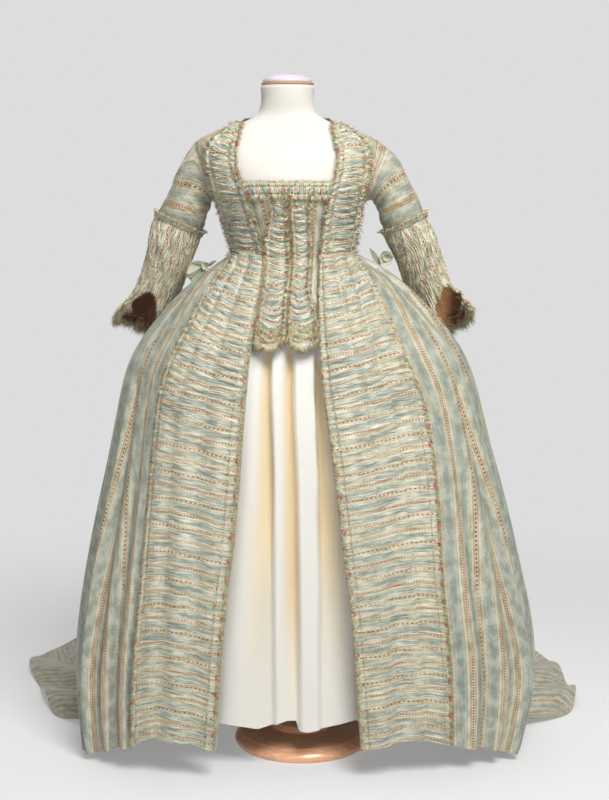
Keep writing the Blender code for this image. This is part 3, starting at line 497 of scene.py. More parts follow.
def creases(grid, marks):
    """Depth of soft troughs and ridges drawn on a grid.

    Each mark runs from one place to another in shares of the grid, across and down, and bows a
    little; its section is a bell of its own width, and it fades towards both ends.
    """
    down = np.linspace(0, 1, len(grid))[:, None]
    width = arc(grid, 1)[:, -1:]
    across = arc(grid, 1) / width
    depth = np.zeros(across.shape)
    for start_x, start_y, end_x, end_y, wide, deep in marks:
        t = (down - start_y) / (end_y - start_y)
        inside = np.clip(t, 0, 1)
        middle = start_x + (end_x - start_x) * inside + 0.012 * np.sin(math.pi * inside)
        bell = np.exp(-(((across - middle) * width) / wide) ** 2)
        fade = np.where((t > 0) & (t < 1), np.sin(math.pi * inside) ** 0.8, 0.0)
        depth += deep * bell * fade
    return depth


def cut_size(grid):
    """Width, length and area of a piece laid flat: its longest ways across and down, and its surface."""
    one = grid[1:, :-1] - grid[:-1, 1:]
    two = grid[1:, 1:] - grid[:-1, :-1]
    area = float(np.linalg.norm(np.cross(one, two), axis=-1).sum() / 2)
    width, length = float(arc(grid, 1)[:, -1].max()), float(arc(grid, 0)[-1].max())
    return width, length, min(area, width * length)


def mesh_of(name, vertices, faces):
    """A smooth mesh from an array of points and an array of triangles or quads."""
    mesh = bpy.data.meshes.new(name)
    count, sides = faces.shape
    mesh.vertices.add(len(vertices))
    mesh.vertices.foreach_set("co", np.ascontiguousarray(vertices, np.float32).ravel())
    mesh.loops.add(count * sides)
    mesh.loops.foreach_set("vertex_index", np.ascontiguousarray(faces, np.int32).ravel())
    mesh.polygons.add(count)
    mesh.polygons.foreach_set("loop_start", np.arange(0, count * sides, sides, dtype=np.int32))
    mesh.polygons.foreach_set("use_smooth", np.full(count, True))
    mesh.update(calc_edges=True)
    mesh.validate()
    return mesh


def linked(name, data):
    """A new object of the scene with this data."""
    made = bpy.data.objects.new(name, data)
    bpy.context.scene.collection.objects.link(made)
    return made


def add_piece(name, mesh, material, nodes=()):
    """Puts a finished mesh into the scene, riding on the frame and standing for these nodes."""
    mesh.materials.append(material)
    piece = linked(name, mesh)
    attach(piece, "root")
    if nodes:
        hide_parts(*nodes)
    return piece


def grid_faces(rows, columns, closed):
    """Quads of a grid, wound so that a grid whose rows go down and columns go round faces out."""
    last = columns if closed else columns - 1
    i, j = np.meshgrid(np.arange(rows - 1), np.arange(last), indexing="ij")
    k = (j + 1) % columns
    corners = [i * columns + j, (i + 1) * columns + j, (i + 1) * columns + k, i * columns + k]
    return np.stack(corners, axis=-1).reshape(-1, 4)


def cloth_map(mesh, *flats):
    """The piece's own map: each corner's place on the flat silk, across the stripes and along them."""
    corners = [
        np.stack([flat[:-1, :-1], flat[1:, :-1], flat[1:, 1:], flat[:-1, 1:]], axis=2).reshape(-1, 2)
        for flat in flats
    ]
    layer = mesh.uv_layers.new(name="cloth")
    layer.uv.foreach_set("vector", np.concatenate(corners).astype(np.float32).ravel())


def crisp_edges(mesh, rows, columns, closed):
    """Marks a sheet's free edges sharp, so that its face isn't shaded round onto its thin rim."""
    ends = np.zeros(2 * len(mesh.edges), np.int32)
    mesh.edges.foreach_get("vertices", ends)
    row, column = np.divmod(ends.reshape(-1, 2), columns)
    free = (row[:, 0] == row[:, 1]) & np.isin(row[:, 0], (0, rows - 1))
    if not closed:
        free |= (column[:, 0] == column[:, 1]) & np.isin(column[:, 0], (0, columns - 1))
    mesh.attributes.new("sharp_edge", "BOOLEAN", "EDGE").data.foreach_set("value", free)


def solidified(piece, thickness, offset):
    """Gives a sheet its thickness, as the returned modifier does."""
    wall = piece.modifiers.new("cloth", "SOLIDIFY")
    wall.thickness = thickness
    wall.offset = offset
    return wall


def make_cloth(name, grid, flat, nodes=(), *, finish="striped", closed=False, thick=SILK,
               held="hung", lining=None, trims=()):
    """A thin shell of cloth on its outer face's grid, in the garment's own points.

    flat holds each point's place on the flat silk, across the stripes and then along them, and
    has one column more than a closed grid.
    """
    grid = placed(grid)
    rows, columns = grid.shape[:2]
    mesh = mesh_of(name, grid.reshape(-1, 3), grid_faces(rows, columns, closed))
    cloth_map(mesh, flat)
    crisp_edges(mesh, rows, columns, closed)
    slot = "petticoat" if finish == "ivory" else "silk"
    if finish == "striped" and held == "gathered":
        finish = "gathered"
    piece = add_piece(name, mesh, MATERIALS[finish], nodes)
    if thick:
        wall = solidified(piece, thick, -1.0)
        wall.use_rim_only = not closed
        if lining:
            mesh.materials.append(MATERIALS[lining])
            wall.material_offset = 1
    width, length, area = cut_size(looped(grid) if closed else grid)
    return piece


def mark_fold_shade(piece, depth):
    """Keeps how deep in a fold each point lies, for its painted shade: from 0 outside to 1 at the bottom."""
    layer = piece.data.attributes.new("fold", "FLOAT", "POINT")
    layer.data.foreach_set("value", np.clip(depth, 0, 1).astype(np.float32).ravel())


def lengthwise(grid, reference=0.0):
    """Flat places where the stripes run down: across from a reference column, along from the top."""
    across = arc(grid, 1)
    column = int(round(reference * (grid.shape[1] - 1)))
    return stack(across - across[:, column : column + 1], arc(grid, 0))


def crosswise(grid, gathers, seed, start, wander=0.0025):
    """Flat places where the stripes run across a gathered strip.

    Each puff between two threads is shifted a little, and its rows lean their own way.
    """
    along = arc(grid, 0).mean(axis=1, keepdims=True)
    share = sideways(grid.shape[1])
    rng = np.random.default_rng(seed)
    shift = wander * wave(along * 9 + share, seed)
    for k, low, high, inside in thread_gaps(share, gathers["lines"]):
        off = (share - (low + high) / 2) / max(high - low, 0.2)
        lean = 4.0 * wander * wave(along * 2.5, seed + 7 * k + 1) * off
        shift = shift + inside * (rng.uniform(-0.004, 0.004) + lean)
    return stack(start + gathers["full"] * along + shift, arc(grid, 1) * np.ones_like(shift))


# ---- shading ---------------------------------------------------------------------------------
def linear(red, green, blue):
    """A screen colour of 0 to 255 in the renderer's linear light."""
    share = np.array([red, green, blue]) / 255.0
    light = np.where(share <= 0.04045, share / 12.92, ((share + 0.055) / 1.055) ** 2.4)
    return (*map(float, light), 1.0)


def arithmetic(operation):
    """A method of a wire that adds one Math node."""
    return lambda wire, other: wire.math(operation, other)


class Wire:
    """A shader socket with arithmetic."""

    __add__ = __radd__ = arithmetic("ADD")
    __mul__ = __rmul__ = arithmetic("MULTIPLY")
    __sub__ = arithmetic("SUBTRACT")
    __truediv__ = arithmetic("DIVIDE")
    __lt__ = arithmetic("LESS_THAN")
    __gt__ = arithmetic("GREATER_THAN")

    def __init__(self, tree, socket):
        self.tree = tree
        self.socket = socket

    def math(self, operation, *others):
        sockets = dict(enumerate((self, *others)))
        return self.tree.node("ShaderNodeMath", 0, {"operation": operation}, sockets)

    def __rsub__(self, other):
        return (self * -1.0).math("ADD", other)

    def __rtruediv__(self, other):
        return self.math("POWER", -1.0).math("MULTIPLY", other)

    def step(self, low, high):
        """0 below low, 1 above high and smooth between."""
        sockets = {"Value": self, "From Min": low, "From Max": high}
        return self.tree.node("ShaderNodeMapRange", "Result", {"interpolation_type": "SMOOTHSTEP"}, sockets)


class Shader:
    """One material's node tree. Nodes are made here: settings first, then sockets."""

    def __init__(self, name, **constants):
        self.material = bpy.data.materials.new(name)
        self.material.use_nodes = True
        self.tree = self.material.node_tree
        self.surface = next(node for node in self.tree.nodes if node.type == "BSDF_PRINCIPLED")
        for socket, value in constants.items():
            self.surface.inputs[socket.replace("_", " ")].default_value = value

    def new(self, kind, **settings):
        node = self.tree.nodes.new(kind)
        for name, value in settings.items():
            setattr(node, name, value)
        return node

    def feed(self, socket, value):
        if isinstance(value, Wire):
            self.tree.links.new(value.socket, socket)
        else:
            socket.default_value = value

    def node(self, kind, output, settings, sockets):
        """Adds a node with these settings, then these values or links of its sockets."""
        made = self.new(kind, **settings)
        for name, value in sockets.items():
            self.feed(made.inputs[name], value)
        return Wire(self, made.outputs[output])

    def place(self, map_name=None):
        """The piece's own map, or its object coordinates: the whole vector, then its three numbers."""
        if map_name:
            vector = self.node("ShaderNodeUVMap", "UV", {"uv_map": map_name}, {})
        else:
            vector = self.node("ShaderNodeTexCoord", "Object", {}, {})
        split = self.new("ShaderNodeSeparateXYZ")
        self.feed(split.inputs[0], vector)
        return vector, *(Wire(self, split.outputs[k]) for k in range(3))

    def attribute(self, name):
        """A number that each of the piece's points carries."""
        return self.node("ShaderNodeAttribute", "Fac", {"attribute_name": name}, {})

    def vector(self, x, y, z):
        return self.node("ShaderNodeCombineXYZ", 0, {}, {"X": x, "Y": y, "Z": z})

    def noise(self, vector, scale, detail=2.0):
        sockets = {"Vector": vector, "Scale": scale, "Detail": detail}
        return self.node("ShaderNodeTexNoise", 0, {}, sockets)

    def mix(self, share, first, second):
        return self.node("ShaderNodeMix", 2, {"data_type": "RGBA"}, {0: share, 6: first, 7: second})

    def ramp(self, value, stops):
        made = self.new("ShaderNodeValToRGB")
        made.color_ramp.interpolation = "LINEAR"
        points = made.color_ramp.elements
        points.remove(points[1])
        for k, (where, colour) in enumerate(stops):
            point = points.new(where) if k else points[0]
            point.position = where
            point.color = colour
        self.feed(made.inputs[0], value)
        return Wire(self, made.outputs[0])

    def scaled(self, colour, amount):
        """A colour made lighter or darker, by a number of 1 for as it is."""
        return self.node("ShaderNodeVectorMath", 0, {"operation": "SCALE"}, {0: colour, "Scale": amount})

    def bump(self, height, distance, strength):
        sockets = {"Strength": strength, "Distance": distance, "Height": height}
        self.feed(self.surface.inputs["Normal"], self.node("ShaderNodeBump", "Normal", {}, sockets))

    def colour(self, value):
        self.feed(self.surface.inputs["Base Color"], value)

    def rough(self, value):
        self.feed(self.surface.inputs["Roughness"], value)


# Half of the silk's repeat, from the middle of the row of large dots to that of the small ones, in
# metres. Then where each of its stripes ends, in millimetres, and the stripe's colour.
HALF_REPEAT = 0.042
STRIPES = Table("""
    end red green blue
    3.0 206 191 156
    3.8 142 140 108
    5.2 168 172 152
    5.9 148 146 114
    9.9 210 201 172
    10.8 166 153 126
    16.0 178 181 164
    26.0 156 165 151
    31.2 178 181 164
    32.0 150 150 120
    36.0 212 203 174
    36.7 150 148 116
    38.2 168 172 154
    39.0 146 132 102
    42.0 208 192 158
""")


def stripe_stops():
    """The chart as a ramp's stops: each stripe's colour at both its ends, parted by a hair."""
    stops, start, hair, width = [], 0.0, 0.12, STRIPES.rows[-1, 0]
    for end, *colour in STRIPES.rows:
        stops.append(((start + hair) / width, linear(*colour)))
        stops.append(((end - hair) / width, linear(*colour)))
        start = end
    return stops


# Rows of small ellipses in metres: the distance from one to the next, and the size of each.
DOTS = {
    "large": {"pitch": 0.0094, "wide": 0.0042, "long": 0.0054},
    "small": {"pitch": 0.0062, "wide": 0.0038, "long": 0.0038},
    "sprig": {"pitch": 0.0090, "wide": 0.0014, "long": 0.0040},
}


def dot_rows(off, along, kind, edge=0.25):
    """1 inside a row of ellipses and 0 outside: off is the distance from the row's middle."""
    dot = DOTS[kind]
    step = (along / dot["pitch"]).math("FRACT") - 0.5
    across = off / (dot["wide"] / 2)
    down = step * (2 * dot["pitch"] / dot["long"])
    return (across * across + down * down).step(1.0 + edge, 1.0 - edge)


def cloth_noise(shader, u, v):
    """A function for noise over the cloth map, by how fine it is across the stripes and along them."""

    def grain(across, along, layer=0.0, detail=2.0):
        return shader.noise(shader.vector(u * across, v * along, layer), 1.0, detail)

    return grain


def silk_material(name, colours, gathers, shade=0.0, streaks=0.55, streak=(300.0, 32.0), worn=0.0,
                  highlight_tone=(226, 224, 208), shade_tone=(110, 110, 84), folds=False):
    """Striped brocade: bands of blue-grey between cream ones that carry rows of small dots.

    The cloth map gives metres across the stripes and along them. Half a repeat is charted, and the
    distance across is folded back and forth over it. Gathers runs from 0, for silk that hangs
    smooth, to 1, for silk drawn up on threads: its stripes wander and break, it is painted lighter
    as a painted sheen, patches of it have painted highlights or painted shade, some have gone to
    straw, and fine creases run along the stripes, painted darker as shade. Shade is painted shade
    that darkens the whole. Streaks is how far the painted patches are drawn out along the stripes,
    streak how many there are across and along, and worn how much the whole has gone to straw.
    The two tones are the colours of the painted highlights and the painted shade. With folds the
    cloth has painted shade where its points say that they lie deep in one.
    """
    shader = Shader(name, Sheen_Weight=0.10, Sheen_Roughness=0.35, Specular_IOR_Level=0.45)
    _, u, v, _ = shader.place("cloth")
    grain = cloth_noise(shader, u, v)
    drift = grain(22.0, 22.0) - 0.5
    jitter = grain(120.0, 70.0, 3.0, detail=1.0) - 0.5
    across = u + drift * (0.0014 + 0.0046 * gathers**3) + jitter * (0.0030 * gathers**3)
    half = across.math("PINGPONG", HALF_REPEAT)
    ground = shader.ramp(half / HALF_REPEAT, stripe_stops())
    # Flecks woven into the blue band.
    band = (half - 0.021).math("ABSOLUTE").step(0.0085, 0.0065)
    weave = grain(420.0, 210.0, detail=1.0)
    ground = shader.mix(weave.step(0.50, 0.66) * band * 0.40, ground, linear(116, 126, 116))
    # Places where the band is bluer, patches gone to straw, and patches with painted highlights and others
    # with painted shade.
    blue = grain(30.0, 14.0, 8.0).step(0.48, 0.62)
    ground = shader.mix(blue * band * 0.45, ground, linear(150, 166, 164))
    ground = shader.mix(worn, ground, linear(200, 188, 154))
    straw = grain(12.0, 17.0, 4.0).step(0.48, 0.58)
    ground = shader.mix(straw * (0.62 * gathers), ground, linear(212, 202, 166))
    patch = grain(60.0, 34.0, 5.0, detail=4.0)
    drawn = grain(*streak, 6.0)
    patch = patch * (1.0 - streaks * gathers) + drawn * (streaks * gathers)
    painted_highlight = patch.step(0.48, 0.61) * (0.18 + 0.56 * gathers)
    deep = patch.step(0.48, 0.38) * (0.16 + 0.54 * gathers)
    ground = shader.mix(painted_highlight, ground, linear(*highlight_tone))
    ground = shader.mix(deep, ground, linear(*shade_tone))
    # Large dots along the middle of one group of stripes, red and brown by turns, and small close
    # ones along the other. Both come and go, and specks lie in the cream beside them.
    turn = (v / 0.0188).math("FRACT") > 0.5
    shown = grain(9.0, 11.0, 7.0, detail=1.0).step(0.34, 0.52) * 0.50 + 0.48
    large = dot_rows(half, v + jitter * 0.003, "large")
    ground = shader.mix(large * shown, ground, shader.mix(turn, linear(184, 66, 40), linear(134, 58, 40)))
    small = dot_rows(half - HALF_REPEAT, v + jitter * 0.002, "small")
    ground = shader.mix(small * shown, ground, linear(172, 74, 48))
    sprig = dot_rows(half - 0.0085, v + 0.0020, "sprig")
    ground = shader.mix(sprig * 0.45, ground, linear(116, 118, 82))
    # Threads, creases along the stripes painted darker as shade, and slow changes where the cloth has faded.
    threads = grain(1500.0, 22.0, detail=1.0)
    run = grain(230.0, 34.0, 9.0)
    crease = (run - 0.5).math("ABSOLUTE").step(0.070, 0.0) * gathers
    old = grain(5.0, 3.0, 2.0, detail=3.0)
    # Painted light and shade: gathered silk is painted lighter as a painted sheen, and shade is painted shade
    # over the whole.
    light = 0.70 + 0.18 * gathers - shade + threads * 0.12
    light = light + (old - 0.5) * (0.6 * colours.fading) - crease * 0.34
    # Painted shade where the points lie deep in a fold.
    if folds:
        light = light * (1.0 - shader.attribute("fold") * 0.72)
    shader.colour(shader.scaled(ground, light))
    shader.rough(0.38 + threads * 0.16)
    crumple = grain(26.0, 12.0, detail=4.0)
    fine = grain(150.0, 60.0)
    height = crumple + fine * (0.14 + 0.30 * gathers) - crease * 0.10 + threads * 0.02
    shader.bump(height, 0.0045, colours.crumple)
    return shader.material


def plain_material(name, colour, rough, crumple, patch=0.08):
    """A plain cloth or finish: its colour varies a little, and fine unevenness catches the light."""
    shader = Shader(name)
    place, *_ = shader.place()
    slow = shader.noise(place, 7.0, 3.0)
    dark = tuple(c * (1 - 2 * patch) for c in colour[:3]) + (1.0,)
    shader.colour(shader.mix(slow, dark, (*colour[:3], 1.0)))
    shader.rough(rough + (shader.noise(place, 60.0) - 0.5) * 0.1)
    scale, depth, strength = crumple
    shader.bump(shader.noise(place, scale, 4.0), depth, strength)
    return shader.material


def ivory_material(colours):
    """The petticoat's silk: ivory, with painted golden shade in its deep folds, fine slubs and long soft
    creases.
    """
    shader = Shader("ivory_silk", Sheen_Weight=0.10, Sheen_Roughness=0.4)
    _, u, v, _ = shader.place("cloth")
    grain = cloth_noise(shader, u, v)
    slub = grain(14.0, 700.0, detail=1.0)
    slow = grain(4.0, 3.0, detail=3.0)
    fold = shader.attribute("fold")
    ivory = (*colours.petticoat, 1.0)
    aged = tuple(c * k for c, k in zip(colours.petticoat, (0.95, 0.93, 0.88))) + (1.0,)
    ground = shader.mix(slow * 0.8 + slub * 0.2, aged, ivory)
    # Painted shade: golden and darker where the points lie deep in a fold.
    shader.colour(shader.mix(fold.step(0.05, 0.9) * 0.75, ground, linear(206, 182, 132)))
    shader.rough(0.50 + slub * 0.15)
    crease = grain(14.0, 5.0, detail=4.0)
    shader.bump(crease + slub * 0.03, 0.0060, colours.crumple)
    return shader.material


def lining_material():
    """The cuffs' brown lining, painted dark as shade, with painted light on the inner side of the right one.
    """
    shader = Shader("cuff_lining", Specular_IOR_Level=0.3)
    place, x, *_ = shader.place()
    cloudy = shader.noise(place, 40.0, 3.0)
    # Painted light: lighter on the inner side of the right cuff, placed by the object's x.
    lit = x.step(0.05, 0.15) * x.step(0.352, 0.322)
    shade = shader.mix(cloudy, linear(92, 62, 44), linear(126, 88, 62))
    shader.colour(shader.mix(lit * (cloudy * 0.5 + 0.6), shade, linear(255, 196, 136)))
    shader.rough(cloudy * 0.2 + 0.6)
    shader.bump(cloudy, 0.002, 0.5)
    return shader.material


def ribbon_material(colours):
    """Pale green pinked ribbon with paler edges."""
    shader = Shader("ribbon_silk", Sheen_Weight=0.2)
    _, u, v, _ = shader.place("cloth")
    grain = cloth_noise(shader, u, v)
    edge = u.math("ABSOLUTE").step(0.0045, 0.0060)
    fine = grain(60.0, 400.0)
    base = shader.mix(fine * 0.5, (*colours.ribbon, 1.0), linear(152, 158, 134))
    shader.colour(shader.mix(edge * 0.4, base, linear(206, 204, 182)))
    shader.rough(0.42 + fine * 0.1)
    shader.bump(grain(80.0, 60.0, detail=3.0), 0.002, colours.crumple)
    return shader.material


def fringe_material():
    """Floss whose colour each strand carries: cream, yellow-green or red."""
    shader = Shader("fringe_floss", Roughness=0.75, Sheen_Weight=0.1)
    stops = [
        (0.00, linear(226, 219, 190)),
        (0.35, linear(188, 184, 138)),
        (0.66, linear(104, 106, 68)),
        (0.74, linear(204, 126, 84)),
        (1.00, linear(160, 58, 44)),
    ]
    shader.colour(shader.ramp(shader.attribute("tint"), stops))
    return shader.material


def wood_material(colours):
    """Turned, stained and waxed wood with its grain drawn out along the turning."""
    shader = Shader("stained_wood", Coat_Weight=0.4, Coat_Roughness=0.15)
    _, x, y, z = shader.place()
    grain = shader.noise(shader.vector(x * 2.0 + y * 5.0, y * 60.0, z * 60.0 + x * 12.0), 3.0, 3.0)
    wood = (*colours.wood, 1.0)
    dark = tuple(c * 0.78 for c in colours.wood) + (1.0,)
    shader.colour(shader.mix(grain.step(0.35, 0.65), dark, wood))
    shader.rough(0.26 + grain * 0.12)
    shader.bump(grain, 0.0004, 0.3)
    return shader.material


# How each of the silk's finishes differs from silk that hangs smooth.
# Shade is painted shade over a whole finish, and with folds a finish has painted shade in its folds.
SILKS = {
    "striped": {"gathers": 0.25, "shade": 0.05},
    "folded": {"gathers": 0.25, "shade": 0.09, "folds": True},
    "gathered": {"gathers": 1.0, "shade": 0.11},
    "drawn": {"gathers": 0.70, "shade": 0.08, "streaks": 0.9, "streak": (230.0, 16.0)},
    "creased": {"gathers": 0.45, "shade": 0.14, "worn": 0.16},
    "pleated": {"gathers": 1.0, "streaks": 1.0, "worn": 0.34,
                "highlight_tone": (232, 224, 202), "shade_tone": (108, 98, 68)},
}
MATERIALS = {}


def make_materials():
    """Every finish of the gown and its form, once."""
    if MATERIALS:
        return
    colours = bpy.context.scene.robe_colours
    for finish, ways in SILKS.items():
        MATERIALS[finish] = silk_material(f"{finish}_silk", colours, **ways)
    MATERIALS["ivory"] = ivory_material(colours)
    MATERIALS["ribbon"] = ribbon_material(colours)
    MATERIALS["lining"] = lining_material()
    MATERIALS["fringe"] = fringe_material()
    MATERIALS["cover"] = plain_material("form_cover", tuple(colours.cover), 0.85, (700.0, 0.0004, 0.3))
    MATERIALS["cap"] = plain_material("form_cap", linear(196, 182, 194), 0.45, (200.0, 0.0003, 0.2))
    MATERIALS["ring"] = plain_material("ring_wood", linear(172, 138, 106), 0.5, (300.0, 0.0006, 0.4), 0.15)
    MATERIALS["wood"] = wood_material(colours)


# ---- fringe ----------------------------------------------------------------------------------
def spaced(points, spacing):
    """Places every spacing along a line of points: lower indices, parts of the way on, and lengths."""
    along = np.concatenate([[0], np.cumsum(np.linalg.norm(np.diff(points, axis=0), axis=1))])
    wanted = np.arange(spacing / 2, along[-1], spacing)
    low = np.clip(np.searchsorted(along, wanted) - 1, 0, len(points) - 2)
    return low, (wanted - along[low]) / np.maximum(along[low + 1] - along[low], 1e-9), wanted


def tufts(edge, away, out, seed, *, spacing=None, length=None, strands=None, red=0.036, lift=0.35,
          plain=0.66):
    """Strands of tufts along an edge: each is a root, a bend and a tip, and each has a tint.

    The strands of a tuft fan out in the plane of away and the edge, lift off the cloth and sag.
    Every so often a tuft is red, and the others are no darker than the tint plain.
    """
    robe = bpy.context.scene.robe_cloth
    spacing = spacing or robe.tuft_spacing
    length = length or robe.tuft_length
    strands = strands or robe.tuft_strands
    rng = np.random.default_rng(seed)
    low, part, where = spaced(edge, spacing)
    if not len(low):
        return np.zeros((0, 3, 3)), np.zeros(0)
    between = lambda rows: rows[low] * (1 - part)[:, None] + rows[low + 1] * part[:, None]
    root, away, out = between(edge), unit(between(away)), unit(between(out))
    along = unit(np.cross(out, away))
    count = len(low)
    spread = rng.uniform(-1.0, 1.0, (count, strands, 1))
    rise = rng.uniform(0.1, 1.0, (count, strands, 1)) * lift
    size = length * rng.uniform(0.55, 1.15, (count, strands, 1))
    way = unit(away[:, None] + along[:, None] * spread + out[:, None] * rise)
    root = root[:, None] + along[:, None] * rng.uniform(-0.3, 0.3, (count, strands, 1)) * spacing
    middle = root + way * size * 0.55
    droop = np.array([0.0, 0.0, -1.0]) * size * rng.uniform(0.0, 0.35, (count, strands, 1))
    tip = root + way * size + droop
    reddish = ((where / red + rng.uniform()) % 1.0) < (spacing / red)
    reds, others = rng.uniform(0.74, 1.0, (count, strands)), rng.uniform(0.0, plain, (count, strands))
    tint = np.where(reddish[:, None], reds, others)
    lines = np.stack([root, middle, tip], axis=2).reshape(-1, 3, 3)
    return lines, tint.ravel()


# Faces of one strand: from one or two rings of three points, the root first, to its tip.
STRAND_CELLS = {
    1: [(0, 1, 3), (1, 2, 3), (2, 0, 3)],
    2: [(0, 1, 4), (0, 4, 3), (1, 2, 5), (1, 5, 4), (2, 0, 3), (2, 3, 5), (3, 4, 6), (4, 5, 6), (5, 3, 6)],
}
BENT_LENGTH = 0.0105  # a strand longer than this has a bend
STRAND_TAPER = np.array([1.0, 0.8])  # shares of a strand's radius at its root and its bend


def strand_mesh(lines, rings, radius):
    """Points and faces of three-sided strands with this many rings and a tip each."""
    way = unit(lines[:, 1] - lines[:, 0])
    side = unit(np.cross(way, np.array([0.31, 0.52, 0.79])))
    other = np.cross(way, side)
    turn = np.arange(3) * 2 * math.pi / 3
    round_it = side[:, None] * np.cos(turn)[None, :, None] + other[:, None] * np.sin(turn)[None, :, None]
    circles = lines[:, :rings, None] + round_it[:, None] * (radius * STRAND_TAPER)[None, :rings, None, None]
    points = np.concatenate([circles.reshape(len(lines), 3 * rings, 3), lines[:, 2:3]], axis=1)
    cells = np.array(STRAND_CELLS[rings])[None] + (3 * rings + 1) * np.arange(len(lines))[:, None, None]
    return points.reshape(-1, 3), cells.reshape(-1, 3)


def fringe(name, sets, nodes=(), radius=0.00045):
    """One mesh of every strand: long ones run from the root over a bend to a point, short ones straight."""
    lines = np.concatenate([lines for lines, _ in sets])
    tint = np.concatenate([tint for _, tint in sets])
    bent = np.linalg.norm(lines[:, 2] - lines[:, 0], axis=1) > BENT_LENGTH
    points, faces, tints, start = [], [], [], 0
    for rings, chosen in ((2, bent), (1, ~bent)):
        some, cells = strand_mesh(lines[chosen], rings, radius)
        points.append(some)
        faces.append(cells + start)
        tints.append(np.repeat(tint[chosen], 3 * rings + 1))
        start += len(some)
    mesh = mesh_of(name, placed(np.concatenate(points)), np.concatenate(faces))
    layer = mesh.attributes.new("tint", "FLOAT", "POINT")
    layer.data.foreach_set("value", np.concatenate(tints).astype(np.float32))
    return add_piece(name, mesh, MATERIALS["fringe"], nodes)


def edge_tufts(grid, column, seed, step=3, lift=0.5, **options):
    """Tufts along one column of a finished grid, pointing away from the cloth beside it."""
    inner = column + step if column < grid.shape[1] // 2 else column - step
    away = unit(grid[:, column] - grid[:, inner])
    return tufts(grid[:, column], away, normals(grid)[:, column], seed, lift=lift, **options)


def clusters(grid, column, seed, **options):
    """Thicker tufts farther apart along a column, many of them red."""
    options = {"spacing": 0.0125, "strands": 18, "length": 0.0115, "red": 0.042, "lift": 0.8, **options}
    return edge_tufts(grid, column, seed, **options)


def end_tufts(grid, row, seed, step=3, lift=0.3, **options):
    """Tufts along one row, pointing away from the rows beside it."""
    inner = row + step if row < grid.shape[0] // 2 else row - step
    away = unit(grid[row] - grid[inner])
    return tufts(grid[row], away, normals(grid)[row], seed, lift=lift, **options)


# ---- bows ------------------------------------------------------------------------------------
# Row and column on the side panel's coarse grid where each ribbon is sewn on.
BOWS = {"right": (1.6, 6.0), "left": (2.1, 14.5)}
KNOT_RADIUS = 0.008
PANEL_COLUMNS = 23
RIBBON = {"width": 0.020, "thick": 0.0006}


def ribbon_grid(path, across, width, cup):
    """A ribbon along a path, cupped across its width and with pinked edges."""
    count = len(path)
    share = np.linspace(-1, 1, 9)[None, :, None]
    pinks = 1 + 0.06 * np.abs(np.sin(np.arange(count) * 1.9))[:, None, None]
    tangent = unit(np.gradient(path, axis=0))
    out = unit(np.cross(tangent, across))
    return path[:, None] + across[:, None] * share * width / 2 * pinks + out[:, None] * cup * (1 - share**2)


def leaf(start, end, across, width):
    """A ribbon's folded end: it swells from its start and narrows to a point."""
    t = np.linspace(0.0, 1.0, 26)[:, None]
    path = start + (end - start) * t
    wide = (width * (np.sin(math.pi * t**0.8) + 0.04))[:, None]
    return ribbon_grid(path, unit(across + 0 * path), wide, 0.0016)


def gathered_ribbon(centre, ways, turns, radii, cup, waves, fluted=0.13):
    """Ribbon gathered round a point between two turns, with a scalloped and fluted outer edge."""
    right, up, out = ways
    turn = np.radians(np.linspace(*turns, 72))[None, :]
    share = np.linspace(0.06, 1, 12)[:, None]
    reach = np.interp(np.degrees(turn[0]), np.linspace(*turns, len(radii)), radii)[None, :]
    reach = reach * share * (1 + 0.07 * np.abs(np.sin(waves * turn)) * share)
    height = cup * share**1.6 + fluted * reach * np.sin(2.3 * waves * turn + 2 * np.sin(3 * turn)) * share
    flat = np.cos(turn)[..., None] * right + np.sin(turn)[..., None] * up
    return centre + flat * reach[..., None] + height[..., None] * out


def left_bow(knot, ways):
    """A fan of thin ribbon that hangs to the left, the ribbon across its top, a knot and two ends."""
    right, up, out = ways
    knot = knot + 0.009 * up
    fan = gathered_ribbon(knot, ways, (168, 272), (0.036, 0.040, 0.043, 0.040, 0.030), 0.004, 5)
    under = gathered_ribbon(knot - 0.003 * out, ways, (176, 262), (0.030, 0.045, 0.044, 0.034), 0.001, 4)
    band = leaf(knot - 0.033 * right + 0.006 * up, knot + 0.015 * right + 0.003 * up + 0.004 * out, up, 0.010)
    tip = leaf(knot + 0.004 * right, knot + 0.024 * right + 0.011 * up, up, 0.008)
    loop = gathered_ribbon(knot + 0.005 * out, ways, (-150, 210), (0.008, 0.009, 0.007, 0.008), 0.003, 3)
    return [fan, under, band, tip, loop]


def right_bow(knot, ways):
    """A round rosette of ribbon in two layers, and a pointed end that stands up beside it."""
    right, up, out = ways
    middle, whole = knot + 0.023 * right + 0.015 * up, (-180, 180)
    outer = gathered_ribbon(middle, ways, whole, (0.015, 0.0155, 0.014, 0.015), 0.008, 2, 0.06)
    inner = gathered_ribbon(middle + 0.001 * out, ways, whole, (0.008, 0.009, 0.008), 0.008, 3, 0.06)
    end = leaf(knot + 0.012 * right - 0.002 * up, knot - 0.012 * right + 0.034 * up, unit(right + up), 0.013)
    return [outer, inner, end]


